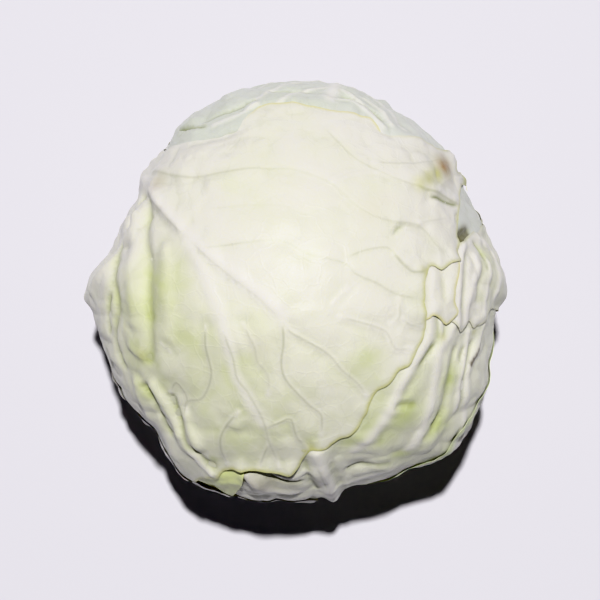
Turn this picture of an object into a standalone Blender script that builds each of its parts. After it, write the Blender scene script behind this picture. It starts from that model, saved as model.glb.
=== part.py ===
"""A head of green cabbage that stands on the cut face of its stalk.

The head is drawn on a round chart. A chart point's distance from the middle is the angle from the
top of the head, and its direction is the direction round the head. All leaves share one net of
triangles on that chart, so leaves that lie on each other are bent alike and stay clear of each other.
Sizes are millimetres, +Z is up, and the origin is the middle of the stalk's cut face.
"""

import math

import bmesh
import bpy
import numpy as np
from mathutils import Vector
from mathutils.geometry import delaunay_2d_cdt

MILLIMETRE = 0.001

# The head
GIRTH_STEP = 15
GIRTH = (
    80.0, 77.5, 76.5, 79.0, 79.0, 80.5, 81.0, 80.0, 78.0, 74.0, 69.5, 70.5,
    78.0, 75.5, 75.5, 76.0, 82.0, 80.5, 79.0, 77.5, 79.5, 85.0, 82.0, 77.0,
)
MEAN_GIRTH = 77.5
GIRTH_HEIGHT = 72.0
TOP_RISE = 74.0
BOTTOM_DROP = 62.0
VIEW_DISTANCE = 950.0

# The net
CHART_RADIUS = 83.0
NET_STEP = 8.6
EDGE_STEP = 7.0
NET_CLEARANCE = 4.2
MERGE = 0.9
TOP_LIMIT = 88.0
LOW_RINGS = (98.0, 110.0, 123.0, 136.0, 149.0)
LEAF_END = 165.5
SECTORS = 40

# The leaves
BLADE = 0.9
REST_GAP = 0.8
DRAPE_ROUNDS = 2

# The packed inner leaves
HEART_DEPTH = 1.4
HEART_SECTORS = 24
HEART_ROWS = (0.0, 12.0, 24.0, 36.0, 48.0, 60.0, 72.0, 84.0, 96.0, 108.0, 120.0, 132.0, 144.0, 156.0)
HEART_FOLD = 0.5
HEART_FOLDS = 5

# The stalk: radius and height, from the cut face to the tip inside the head
STALK_SECTORS = 24
STALK_PROFILE = (
    (16.8, 0.0), (17.9, 0.9), (18.4, 4.5), (17.6, 9.0), (16.2, 14.0),
    (14.5, 26.0), (12.0, 42.0), (8.6, 56.0), (4.8, 64.0),
)
STALK_TIP = 67.0
STALK_GAP = 0.6

# Visible leaf margins, seen from above, from the middle of the head
FRONT_EDGE = (
    (-53.5, 57), (-46.5, 60.5), (-38.5, 63), (-28.5, 65.5), (-22.5, 67), (-13.5, 71), (-6.5, 71),
    (11.5, 70.5), (25.5, 69.5), (31.5, 67.5), (35.5, 65), (41.5, 63), (47, 62.5), (53.5, 60),
    (59.5, 58), (63, 55), (67, 49), (71, 43), (67.5, 40), (66.5, 34), (66, 29), (67, 23), (65, 17),
    (64.5, 11.5), (58, 9), (54, 9), (53, 3), (52.5, -3), (53.5, -17), (47.5, -26.5), (41.5, -33.5),
    (32, -43.5), (26.5, -53), (19.5, -59), (9, -63.5), (5, -65.5), (0.5, -72.5), (-10.5, -72),
    (-18.5, -71), (-25.5, -71.5), (-32, -71.5), (-38.5, -71), (-43.5, -67.5), (-48, -62.5),
)
SECOND_EDGE = (
    (-27, 63), (-22.5, 69), (-18.5, 73), (-13.5, 76), (-6.5, 77), (1.5, 76.5), (11.5, 75),
    (19.5, 74), (25.5, 72.5), (31.5, 70), (37.5, 62.5), (49.5, 53), (61, 37), (64, 22), (66, 12),
    (65, 3), (66, -7.5), (61.5, -12.5), (56, -10), (40, -12), (15, -19), (-15, -25), (-46, -32),
)
SIDE_EDGE = (
    (73, 28), (69, 22.5), (62, 18.5), (57.5, 13), (55, 3), (58, -8), (64, -12.5), (67, -16.5),
    (71, -12), (72.5, -15), (76.5, -12), (81, -7),
)
FORE_EDGE = (
    (-34, -76), (-20, -65), (-2, -58), (10, -48), (22, -35), (36, -19), (43, -3), (54, 6), (77, -2),
)
TUCK_EDGE = ((-48, -58), (-38.5, -54), (-28.5, -58), (-22, -67), (-21, -75), (-24, -81))

# Wavy rims near the widest part: angle round the head and angle from its top
LOW_LEFT_RIM = (
    (192, 94), (199, 88), (206, 84), (213, 87), (220, 82), (226, 85), (232, 83), (239, 87),
    (246, 84), (253, 82), (259, 85), (265, 81), (271, 84), (276, 82), (281, 88),
)
LOW_RIGHT_RIM = (
    (286, 80), (293, 82), (300, 76), (307, 73), (314, 75), (320, 73), (326, 77), (333, 73),
    (339, 76), (344, 74), (349, 86),
)
LOW_BACK_RIM = (
    (30, 104), (40, 97), (52, 99), (64, 93), (76, 96), (88, 92), (100, 95), (112, 93),
    (124, 97), (136, 94), (148, 99), (158, 98), (168, 110),
)

# Ribs and folds, seen from above: points, height and half width
FRONT_RIBS = (
    (((-60, 44.5), (-52.5, 32), (-44.5, 21.5), (-29.5, 9), (-16, -5), (-5, -12.5)), 3.4, 5.0),
    (((-44.5, 21.5), (-37, 4), (-29.5, -13), (-25, -33), (-16.5, -48.5), (-8, -69)), 2.4, 4.0),
    (((-36.5, 18), (-16.5, 21), (4.5, 15.5), (20, 11.5), (33, 3.5), (49, -3)), 2.8, 4.0),
    (((-36.5, 34), (-14.5, 35.5), (3, 31.5), (18, 33.5)), 1.8, 3.5),
    (((-58, 48), (-38.5, 47), (-20.5, 49.5), (1.5, 49), (19.5, 40), (31.5, 31), (53, 25.5)), 2.4, 4.0),
    (((11.5, 66), (23.5, 55), (45.5, 44), (65, 35.5)), 2.4, 4.0),
    (((-4.5, -13), (-6, -29), (-1.5, -40), (6.5, -48), (10.5, -58)), 2.2, 3.5),
    (((-2.5, -14.5), (3.5, -9), (17.5, -7), (31, -14), (41, -23.5)), 2.2, 3.5),
    (((-54, 20), (-58, 8), (-56, -8), (-52, -28), (-46, -48), (-40, -60)), 3.2, 5.0),
    (((-67, 22), (-73, 4), (-72, -14), (-66, -32)), 3.4, 5.0),
    (((-62, -38), (-56, -48), (-50, -58)), 3.0, 4.0),
)
FORE_RIBS = (
    (((14.5, -77), (20, -70.5), (27.5, -59), (41.5, -37), (53, -20), (55, -5)), 2.6, 4.5),
    (((12, -81.5), (13.5, -79), (16, -73)), 3.0, 5.0),
    (((41.5, -59), (53.5, -47), (59.5, -35), (62, -23)), 2.2, 4.0),
    (((62, -54), (68.5, -40), (72, -24), (75.5, -14)), 2.0, 4.0),
)
SIDE_RIBS = (
    (((71, 26), (75, 12), (76, 0), (73, -8)), 2.0, 4.0),
    (((68, 20), (66.5, 8), (66, 0), (65, -7)), 1.8, 3.5),
)
CROWN_RIBS = (
    (((-38, 72), (-22, 78), (-6, 82), (10, 83)), 1.8, 4.0),
    (((17.5, 79.5), (27.5, 78), (33, 75), (38, 70), (42, 66)), 2.0, 4.0),
)


def spline(points, step):
    """Points about one step apart on a smooth curve through the given ones."""
    points = np.asarray(points, float)
    padded = np.vstack([2 * points[0] - points[1], points, 2 * points[-1] - points[-2]])
    found = []
    for before, start, end, after in zip(padded, padded[1:], padded[2:], padded[3:]):
        parts = max(1, round(float(np.linalg.norm(end - start)) / step))
        for part in range(parts):
            t = part / parts
            found.append(
                0.5 * (
                    2 * start + (end - before) * t
                    + (2 * before - 5 * start + 4 * end - after) * t**2
                    + (3 * start - before - 3 * end + after) * t**3
                )
            )
    return np.array(found + [points[-1]])


def girth(azimuth):
    """The head's radius under its outer leaves, at its widest, for an angle round it in radians."""
    place = np.degrees(azimuth) % 360 / GIRTH_STEP
    index = np.floor(place).astype(int)
    blend = (1 - np.cos(np.pi * (place - index))) / 2
    table = np.array(GIRTH)
    return table[index % len(table)] * (1 - blend) + table[(index + 1) % len(table)] * blend


def radius_at(azimuth, polar):
    """The head's half width, which gets rounder towards the top and the stalk."""
    return MEAN_GIRTH + (girth(azimuth) - MEAN_GIRTH) * np.sin(polar) ** 2


def base_surface(chart):
    """Points on the head under its outer leaves, and the outward directions there."""
    chart = np.asarray(chart, float)
    polar = np.hypot(chart[:, 0], chart[:, 1]) / CHART_RADIUS
    azimuth = np.arctan2(chart[:, 1], chart[:, 0])
    radius = radius_at(azimuth, polar)
    half_height = np.where(polar < math.pi / 2, TOP_RISE, BOTTOM_DROP)
    ring = np.stack([np.cos(azimuth), np.sin(azimuth)], axis=1)
    points = np.column_stack(
        [ring * (radius * np.sin(polar))[:, None], GIRTH_HEIGHT + half_height * np.cos(polar)]
    )
    outward = np.column_stack([ring * (np.sin(polar) / radius)[:, None], np.cos(polar) / half_height])
    return points, outward / np.linalg.norm(outward, axis=1)[:, None]


def seen(x, y):
    """The chart point of a place seen from above, by a viewer on the head's axis."""
    azimuth = math.atan2(y, x)
    distance = math.hypot(x, y)
    polar = 0.5
    for _ in range(30):
        height = TOP_RISE * math.cos(polar)
        real = distance * (1 - height / VIEW_DISTANCE)
        reach = float(radius_at(np.array(azimuth), np.array(polar))) + 5.0
        polar = 0.5 * (polar + math.asin(min(1.0, real / reach)))
    reach = min(polar, math.radians(TOP_LIMIT)) * CHART_RADIUS
    return reach * math.cos(azimuth), reach * math.sin(azimuth)


def under(azimuth, polar):
    """The chart point at an angle round the head and an angle from its top, in degrees."""
    reach = math.radians(polar) * CHART_RADIUS
    return reach * math.cos(math.radians(azimuth)), reach * math.sin(math.radians(azimuth))


def outline(visible, hidden):
    """A closed leaf outline: the margin seen from above, then the turned-under part."""
    rim = [seen(x, y) for x, y in visible] + [under(azimuth, polar) for azimuth, polar in hidden]
    closed = spline(rim + rim[:1], EDGE_STEP)[:-1]
    limit = math.radians(LEAF_END) * CHART_RADIUS
    reach = np.hypot(closed[:, 0], closed[:, 1])
    return closed * np.minimum(1.0, limit / reach)[:, None]


def leaves():
    """Every leaf from the innermost to the outermost: name, outline, ribs, margin lift and colour."""
    return (
        (
            "leaf_crown",
            outline((), (
                (141, 70), (118, 56), (90, 52), (62, 54), (38, 58), (18, 66), (6, 80), (5, 96),
                (14, 115), (32, 135), (50, 152), (62, 165.5), (88, 165.5), (102, 150), (122, 130),
                (139, 110), (143, 88),
            )),
            CROWN_RIBS, 0.0, (0.70, 0.72, 0.62),
        ),
        (
            "leaf_fore",
            outline(FORE_EDGE, (
                (-9, 100), (-24, 122), (-50, 146), (-66, 165.5), (-92, 165.5), (-100, 148),
                (-112, 122), (-117, 100),
            )),
            FORE_RIBS, 0.0, (0.60, 0.58, 0.46),
        ),
        (
            "leaf_side",
            outline(SIDE_EDGE, (
                (-5, 104), (2, 130), (10, 150), (14, 165.5), (36, 165.5), (42, 150), (42, 128),
                (33, 106), (25, 88),
            )),
            SIDE_RIBS, 0.0, (0.66, 0.67, 0.53),
        ),
        (
            "leaf_tuck",
            outline(TUCK_EDGE, (
                (250, 102), (245, 125), (238, 150), (235, 165.5), (216, 165.5), (215, 150),
                (220, 122), (228, 98),
            )),
            (), 0.0, (0.48, 0.52, 0.26),
        ),
        (
            "leaf_second",
            outline(SECOND_EDGE, (
                (218, 92), (214, 120), (209, 145), (205, 165.5), (178, 165.5), (172, 145),
                (160, 115), (148, 88),
            )),
            (), 0.4, (0.60, 0.60, 0.34),
        ),
        (
            "leaf_front",
            outline(FRONT_EDGE, (
                (228, 92), (222, 112), (208, 132), (190, 150), (170, 165.5), (136, 165.5),
                (128, 146), (127, 118), (131, 92),
            )),
            FRONT_RIBS, 1.8, (0.76, 0.76, 0.62),
        ),
        (
            "leaf_low_back",
            outline((), LOW_BACK_RIM + (
                (162, 130), (140, 150), (116, 165.5), (84, 165.5), (62, 150), (38, 128),
            )),
            (), 0.8, (0.62, 0.66, 0.46),
        ),
        (
            "leaf_low_right",
            outline((), LOW_RIGHT_RIM + (
                (349, 106), (346, 126), (336, 148), (326, 165.5), (300, 165.5), (291, 148),
                (286, 122), (283, 98),
            )),
            (), 1.4, (0.58, 0.62, 0.34),
        ),
        (
            "leaf_low_left",
            outline((), LOW_LEFT_RIM + (
                (280, 104), (274, 124), (266, 148), (258, 165.5), (238, 165.5), (224, 148),
                (204, 128), (191, 108),
            )),
            (), 1.8, (0.55, 0.56, 0.40),
        ),
    )


def rib_lines(ribs):
    """Each rib's crest on the chart, with its height and half width."""
    return [(spline([seen(x, y) for x, y in points], EDGE_STEP), height, width) for points, height, width in ribs]


def distance_to(line, points):
    """Each point's distance to a line of chart points, and its place along it from 0 to 1."""
    starts, ends = line[:-1], line[1:]
    along = ends - starts
    lengths = np.linalg.norm(along, axis=1)
    reached = np.concatenate([[0.0], np.cumsum(lengths)])
    offset = points[:, None] - starts[None]
    share = np.clip((offset * along).sum(axis=2) / lengths**2, 0.0, 1.0)
    distance = np.linalg.norm(offset - share[..., None] * along, axis=2)
    nearest = distance.argmin(axis=1)
    rows = np.arange(len(points))
    place = (reached[nearest] + share[rows, nearest] * lengths[nearest]) / reached[-1]
    return distance[rows, nearest], place


def inside(polygon, points):
    """Which points lie inside a closed outline."""
    crossings = np.zeros(len(points), int)
    for start, end in zip(polygon, np.roll(polygon, -1, axis=0)):
        spans = (start[1] > points[:, 1]) != (end[1] > points[:, 1])
        rise = end[1] - start[1]
        at = start[0] + (points[:, 1] - start[1]) * (end[0] - start[0]) / (rise if rise else 1.0)
        crossings += spans & (points[:, 0] < at)
    return crossings % 2 == 1


def lattice():
    """The net's free points: triangles over the top, rings round the lower half."""
    limit = math.radians(TOP_LIMIT) * CHART_RADIUS
    row_step = NET_STEP * math.sqrt(3) / 2
    rows = int(limit / row_step)
    points = []
    for row in range(-rows, rows + 1):
        shift = NET_STEP / 2 * (row % 2)
        for column in range(-rows - 1, rows + 2):
            x, y = column * NET_STEP + shift, row * row_step
            if math.hypot(x, y) < limit - NET_STEP / 2:
                points.append((x, y))
    for ring, polar in enumerate(LOW_RINGS + (LEAF_END,)):
        for sector in range(SECTORS):
            points.append(under(360 / SECTORS * (sector + ring % 2 / 2), polar))
    return np.array(points)


def shared_net(outlines, crests):
    """One net of triangles that follows every leaf outline and rib crest."""
    free = lattice()
    lines = [np.vstack([edge, edge[:1]]) for edge in outlines] + crests
    for line in lines:
        free = free[distance_to(line, free)[0] > NET_CLEARANCE]
    points, edges, owners = [], [], []
    for number, line in enumerate(outlines + crests):
        closed = number < len(outlines)
        first = len(points)
        points.extend(line)
        for index in range(len(line) - (not closed)):
            edges.append((first + index, first + (index + 1) % len(line)))
            owners.append(number)
    points.extend(free)
    verts, net_edges, faces, _, edge_ids, _ = delaunay_2d_cdt(
        [Vector(point) for point in points], edges, [], 0, MERGE, True
    )
    walls = {number: set() for number in range(len(outlines))}
    for edge, ids in zip(net_edges, edge_ids):
        for number in {owners[index] for index in ids if index < len(owners)}:
            if number in walls:
                walls[number].add(tuple(sorted(edge)))
    return np.array([tuple(vert) for vert in verts]), np.array([tuple(face) for face in faces]), walls


def leaf_faces(faces, middles, polygon, walls):
    """The net's triangles inside one leaf's outline, found as the regions that its walls close off."""
    by_edge = {}
    for number, face in enumerate(faces):
        for a, b in zip(face, np.roll(face, -1)):
            by_edge.setdefault((min(a, b), max(a, b)), []).append(number)
    label = np.full(len(faces), -1)
    region = 0
    for seed in range(len(faces)):
        if label[seed] >= 0:
            continue
        label[seed] = region
        waiting = [seed]
        while waiting:
            number = waiting.pop()
            face = faces[number]
            for a, b in zip(face, np.roll(face, -1)):
                edge = (min(a, b), max(a, b))
                if edge in walls:
                    continue
                for other in by_edge[edge]:
                    if label[other] < 0:
                        label[other] = region
                        waiting.append(other)
        region += 1
    within = inside(polygon, middles)
    keep = [part for part in range(region) if within[label == part].mean() > 0.5]
    return faces[np.isin(label, keep)]


def neighbours(count, faces):
    """Each net point's neighbours, as two index arrays."""
    pairs = np.concatenate([faces[:, [0, 1]], faces[:, [1, 2]], faces[:, [2, 0]]])
    pairs = np.unique(np.sort(np.concatenate([pairs, pairs[:, ::-1]]), axis=1), axis=0)
    return np.concatenate([pairs, pairs[:, ::-1]]), np.bincount(pairs.ravel(), minlength=count)


def drape(height, links, degree):
    """Heights that rest on the given ones and bridge the steps between them."""
    for _ in range(DRAPE_ROUNDS):
        total = np.bincount(links[:, 0], weights=height[links[:, 1]], minlength=len(height))
        height = np.maximum(height, total / np.maximum(degree, 1))
    return height


def rib_relief(crests, points):
    """How far the ribs and folds of a leaf stand out."""
    relief = np.zeros(len(points))
    for line, height, width in crests:
        distance, place = distance_to(line, points)
        taper = 1.0 - 0.45 * place
        relief = np.maximum(relief, height * taper * np.exp(-((distance / width) ** 2)))
    return relief


def material(name, colour, roughness):
    """A plain finish."""
    finish = bpy.data.materials.new(name)
    finish.use_nodes = True
    shader = finish.node_tree.nodes["Principled BSDF"]
    shader.inputs["Base Color"].default_value = (*colour, 1.0)
    shader.inputs["Roughness"].default_value = roughness
    shader.inputs["Metallic"].default_value = 0.0
    return finish


def add_object(name, mesh, colour, roughness):
    """Links a finished mesh to the scene."""
    mesh.materials.append(material(name, colour, roughness))
    item = bpy.data.objects.new(name, mesh)
    bpy.context.scene.collection.objects.link(item)
    return item


def add_leaf(name, faces, inner, outer, colour):
    """A leaf: a sheet of net triangles extruded outwards to its outer face."""
    used, index = np.unique(faces, return_inverse=True)
    shape = bmesh.new()
    low = [shape.verts.new(inner[number] * MILLIMETRE) for number in used]
    sheet = [shape.faces.new([low[i] for i in face]) for face in index.reshape(faces.shape)]
    number_of = {vert: number for vert, number in zip(low, used)}
    grown = bmesh.ops.extrude_face_region(shape, geom=sheet, use_keep_orig=True)["geom"]
    spots = {tuple(vert.co): number for vert, number in number_of.items()}
    for vert in grown:
        if isinstance(vert, bmesh.types.BMVert):
            vert.co = outer[spots[tuple(vert.co)]] * MILLIMETRE
    bmesh.ops.recalc_face_normals(shape, faces=shape.faces)
    if shape.calc_volume(signed=True) < 0:
        bmesh.ops.reverse_faces(shape, faces=shape.faces)
    mesh = bpy.data.meshes.new(name)
    shape.to_mesh(mesh)
    shape.free()
    mesh.shade_smooth()
    add_object(name, mesh, colour, 0.45)


def add_turned(name, rows, start, end, colour, roughness):
    """A closed body from rings of points; start and end are its pole points, or None for a flat face."""
    shape = bmesh.new()
    rings = [[shape.verts.new(Vector(point) * MILLIMETRE) for point in row] for row in rows]
    count = len(rings[0])
    for low, high in zip(rings, rings[1:]):
        for i in range(count):
            j = (i + 1) % count
            shape.faces.new((low[i], low[j], high[j]))
            shape.faces.new((low[i], high[j], high[i]))
    for ring, pole in ((rings[0], start), (rings[-1], end)):
        if pole is None:
            shape.faces.new(ring)
            continue
        tip = shape.verts.new(Vector(pole) * MILLIMETRE)
        for i in range(count):
            shape.faces.new((ring[i], ring[(i + 1) % count], tip))
    bmesh.ops.recalc_face_normals(shape, faces=shape.faces)
    if shape.calc_volume(signed=True) < 0:
        bmesh.ops.reverse_faces(shape, faces=shape.faces)
    mesh = bpy.data.meshes.new(name)
    shape.to_mesh(mesh)
    shape.free()
    mesh.shade_smooth()
    add_object(name, mesh, colour, roughness)


def circle(radius, height, sectors):
    """A level ring of points."""
    angles = [2 * math.pi * i / sectors for i in range(sectors)]
    return [(radius * math.cos(angle), radius * math.sin(angle), height) for angle in angles]


def add_stalk():
    """The cut stalk, which goes on up inside the head."""
    rows = [circle(radius, height, STALK_SECTORS) for radius, height in STALK_PROFILE]
    add_turned("stalk", rows, None, (0.0, 0.0, STALK_TIP), (0.72, 0.70, 0.52), 0.6)


def add_heart():
    """The tightly packed inner leaves, as one body with room for the stalk."""
    rows = []
    for polar in HEART_ROWS[1:]:
        chart = [under(360 / HEART_SECTORS * i, polar) for i in range(HEART_SECTORS)]
        points, outward = base_surface(chart)
        turns = np.arange(HEART_SECTORS) * 2 * math.pi / HEART_SECTORS
        fold = HEART_FOLD * (1 + np.cos(HEART_FOLDS * turns + math.radians(polar)))
        rows.append(points - outward * (HEART_DEPTH + fold)[:, None])
    cavity = [
        circle(radius + STALK_GAP, height, HEART_SECTORS)
        for radius, height in STALK_PROFILE[4:]
    ]
    top = base_surface([(0.0, 0.0)])[0][0] - np.array([0, 0, HEART_DEPTH + HEART_FOLD])
    tip = (0.0, 0.0, STALK_TIP + 2 * STALK_GAP)
    add_turned("heart", rows + cavity, top, tip, (0.74, 0.74, 0.55), 0.5)


def main():
    """Builds the head."""
    for item in list(bpy.data.objects):
        bpy.data.objects.remove(item, do_unlink=True)
    plan = leaves()
    crests = [rib_lines(ribs) for _, _, ribs, _, _ in plan]
    lines = [line for group in crests for line, _, _ in group]
    net, faces, walls = shared_net([edge for _, edge, _, _, _ in plan], lines)
    points, outward = base_surface(net)
    links, degree = neighbours(len(net), faces)
    middles = net[faces].mean(axis=1)
    stack = np.zeros(len(net))
    for number, (name, edge, _, lift, colour) in enumerate(plan):
        own = leaf_faces(faces, middles, edge, walls[number])
        used = np.unique(own)
        margin = distance_to(np.vstack([edge, edge[:1]]), net)[0]
        level = drape(stack, links, degree) + REST_GAP + rib_relief(crests[number], net)
        level += lift * np.exp(-((margin / NET_STEP) ** 2))
        add_leaf(
            name, own, points + outward * level[:, None], points + outward * (level + BLADE)[:, None], colour
        )
        stack[used] = level[used] + BLADE
    add_heart()
    add_stalk()


main()
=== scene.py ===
"""Looks of a head of green cabbage: thin ribbed leaves laid over each other, a heart and a stalk.

The head is drawn on a round chart. A chart point's distance from the middle is the angle from the top
of the head, and its direction is the direction round the head. Plan points are millimetres from the
middle of the head as seen from above, and low points are an angle round the head and one from its top.
"""

import logging
import math
from dataclasses import dataclass, field
from enum import Enum

import bpy
import numpy as np
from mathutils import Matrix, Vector
from mathutils.geometry import delaunay_2d_cdt
from mathutils.kdtree import KDTree
from numpy.typing import NDArray


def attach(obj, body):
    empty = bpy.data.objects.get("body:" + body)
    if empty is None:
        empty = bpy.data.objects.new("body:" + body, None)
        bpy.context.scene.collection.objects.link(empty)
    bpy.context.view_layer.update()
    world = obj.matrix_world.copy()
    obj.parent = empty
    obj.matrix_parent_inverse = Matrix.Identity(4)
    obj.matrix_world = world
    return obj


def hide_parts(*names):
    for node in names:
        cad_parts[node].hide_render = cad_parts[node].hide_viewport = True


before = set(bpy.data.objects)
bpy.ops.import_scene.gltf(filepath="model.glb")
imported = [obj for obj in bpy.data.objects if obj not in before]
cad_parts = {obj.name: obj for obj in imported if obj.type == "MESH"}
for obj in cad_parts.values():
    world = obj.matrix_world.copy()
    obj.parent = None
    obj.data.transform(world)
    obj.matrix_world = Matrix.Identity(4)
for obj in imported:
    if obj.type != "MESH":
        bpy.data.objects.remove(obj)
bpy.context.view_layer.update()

Array = NDArray[np.float64]
Places = tuple[tuple[float, float], ...]
Colour = tuple[float, float, float]

LOG = logging.getLogger("cabbage")
BODY = "root"
MILLIMETRE = 0.001
SHARP_ANGLE = math.radians(55.0)

# Lines on a leaf, in millimetres
FAR = 1e3
LINE_REACH = 14.0
ROUTE_STEP = 2.5
FOLD_EDGE = 0.8
LINE_FADE = 5.0
SHADE_AND_VEIN_LINE_WIDTH = 0.6
VEIN_WIDTH_SHARE = 0.9
STRANDS = (-0.8, 0.0, 0.8)
STRAND_STEP = 0.9
DOME_REACH = 4.0

# Meshes, in millimetres and degrees from the top of the head
FINE_LIMIT = 97.0
LOW_LIMIT = 126.0
STRAND_CELL = 1.1
INNER_POINTS = 2500
CLEARANCE_SEARCH = 2.5
# How the painted shade in a face's hollows is found: rounds of averaging, and the depth that gets full
# shade
HOLLOW_ROUNDS = 3
HOLLOW_DEPTH = 0.5

# Leaf margins, in millimetres
MARGIN_STEP = 0.5
EDGE_REACH = 4.0
GAP_REACH = 5.0
CALM_REACH = 10.0
SWELL_REACH = 20.0
SHOWN_LIMIT = 0.99

# The angles from the top, in radians, between which a blade gets its full waves
SIDE_START = 0.5
SIDE_SPAN = 0.7

# Frills and the waves of a margin: size, seed and height
FRILLS = ((4.0, 77, 0.7), (11.0, 78, 0.8))
EDGE_WAVES = (9.0, 5, 0.7)

# Waves and crumples: size, seed, height on top and what is added at the sides
WAVES = ((22.0, 8, 0.40, 0.40), (10.0, 3, 0.20, 0.25), (4.5, 4, 0.08, 0.08))
CRUMPLES = ((16.0, 21, 0.5, 1.1), (7.0, 22, 0.12, 0.4))


def smooth_step(value: Array) -> Array:
    """Clamps to 0 to 1 and eases both ends."""
    held = np.clip(value, 0.0, 1.0)
    return held * held * (3.0 - 2.0 * held)


def spline(points: Array, step: float) -> Array:
    """Reads points from a smooth curve.

    Args:
        points: The points that the curve goes through.
        step: The distance between the points that are read.

    Returns:
        Points about one step apart, from the first to the last.
    """
    padded = np.vstack([2 * points[0] - points[1], points, 2 * points[-1] - points[-2]])
    found = []
    for before, start, end, after in zip(padded, padded[1:], padded[2:], padded[3:]):
        parts = max(1, round(float(np.linalg.norm(end - start)) / step))
        t = (np.arange(parts) / parts)[:, None]
        found.append(
            0.5 * (
                2 * start + (end - before) * t
                + (2 * before - 5 * start + 4 * end - after) * t**2
                + (3 * start - before - 3 * end + after) * t**3
            )
        )
    return np.vstack(found + [points[-1:]])


@dataclass(frozen=True)
class HeadForm:
    """The head under its outer leaves, as a surface over the chart."""

    girths: tuple[float, ...] = (
        80.0, 75.5, 75.0, 79.0, 79.0, 80.5, 81.0, 80.0, 78.0, 74.0, 69.5, 70.5,
        78.0, 75.5, 75.5, 76.0, 82.0, 80.5, 79.0, 77.5, 79.5, 85.0, 82.0, 77.0,
    )
    mean_girth: float = 77.5
    girth_height: float = 72.0
    top_rise: float = 74.0
    bottom_drop: float = 62.0
    chart_radius: float = 83.0
    view_distance: float = 950.0
    top_limit: float = 88.0
    leaf_end: float = 165.5
    leaf_pile: float = 5.0
    search_steps: int = 30

    def radius(self, azimuth: Array, polar: Array) -> Array:
        """The head's half width, which gets rounder towards the top and the stalk.

        Args:
            azimuth: Angles round the head.
            polar: Angles from the top of the head.

        Returns:
            The half width for each pair of angles.
        """
        table = np.array(self.girths)
        place = np.degrees(azimuth) % 360 / (360 / len(table))
        index = np.floor(place).astype(int)
        blend = (1 - np.cos(np.pi * (place - index))) / 2
        girth = table[index % len(table)] * (1 - blend) + table[(index + 1) % len(table)] * blend
        return self.mean_girth + (girth - self.mean_girth) * np.sin(polar) ** 2

    def surface(self, chart: Array) -> tuple[Array, Array]:
        """Places chart points on the head.

        Args:
            chart: Points on the chart.

        Returns:
            The points in space and the outward directions there.
        """
        polar = np.hypot(chart[:, 0], chart[:, 1]) / self.chart_radius
        azimuth = np.arctan2(chart[:, 1], chart[:, 0])
        radius = self.radius(azimuth, polar)
        half_height = np.where(polar < math.pi / 2, self.top_rise, self.bottom_drop)
        ring = np.stack([np.cos(azimuth), np.sin(azimuth)], axis=1)
        level = self.girth_height + half_height * np.cos(polar)
        points = np.column_stack([ring * (radius * np.sin(polar))[:, None], level])
        tilt = np.cos(polar) / half_height
        outward = np.column_stack([ring * (np.sin(polar) / radius)[:, None], tilt])
        return points, outward / np.linalg.norm(outward, axis=1)[:, None]

    def seen(self, places: Places) -> Array:
        """Finds the chart points of plan points.

        Args:
            places: Points as a viewer above the head sees them.

        Returns:
            The same points on the chart.
        """
        plan = np.array(places, float).reshape(-1, 2)
        azimuth = np.arctan2(plan[:, 1], plan[:, 0])
        distance = np.hypot(plan[:, 0], plan[:, 1])
        polar = np.full(len(plan), 0.5)
        for _ in range(self.search_steps):
            real = distance * (1 - self.top_rise * np.cos(polar) / self.view_distance)
            reach = self.radius(azimuth, polar) + self.leaf_pile
            polar = 0.5 * (polar + np.arcsin(np.minimum(1.0, real / reach)))
        length = np.minimum(polar, math.radians(self.top_limit)) * self.chart_radius
        return np.stack([length * np.cos(azimuth), length * np.sin(azimuth)], axis=1)

    def low(self, places: Places) -> Array:
        """Finds the chart points of low points.

        Args:
            places: Angles round the head and from its top, in degrees.

        Returns:
            The same points on the chart.
        """
        angles = np.radians(np.array(places, float).reshape(-1, 2))
        length = angles[:, 1] * self.chart_radius
        return np.stack([length * np.cos(angles[:, 0]), length * np.sin(angles[:, 0])], axis=1)

    def squeeze(self, chart: Array) -> Array:
        """How much shorter a distance round the head is than on the chart."""
        polar = np.maximum(np.hypot(chart[:, 0], chart[:, 1]) / self.chart_radius, 1e-6)
        return np.sin(polar) / polar


FORM = HeadForm()


@dataclass(frozen=True)
class Waves:
    """Smooth random waves over the chart, from -1 to 1."""

    size: float
    seed: int
    reach: float = 260.0

    def at(self, chart: Array) -> Array:
        """Reads the waves.

        Args:
            chart: Points on the chart.

        Returns:
            The waves' height at each point.
        """
        count = int(2 * self.reach / self.size) + 4
        table = np.random.default_rng(self.seed).uniform(-1.0, 1.0, (count, count))
        place = (chart + self.reach) / self.size
        cell = np.clip(np.floor(place).astype(int), 0, count - 2)
        part = smooth_step(place - cell)
        x, y = cell[:, 0], cell[:, 1]
        low = table[x, y] * (1 - part[:, 0]) + table[x + 1, y] * part[:, 0]
        high = table[x, y + 1] * (1 - part[:, 0]) + table[x + 1, y + 1] * part[:, 0]
        return low * (1 - part[:, 1]) + high * part[:, 1]


class Profile(Enum):
    """How a line on a leaf stands out."""

    RIB = "a rounded vein"
    SWELL = "a soft ridge with no vein in it"
    FOLD = "a step up to the left of the line, which then falls away slowly"
    CREASE = "a groove"


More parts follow.
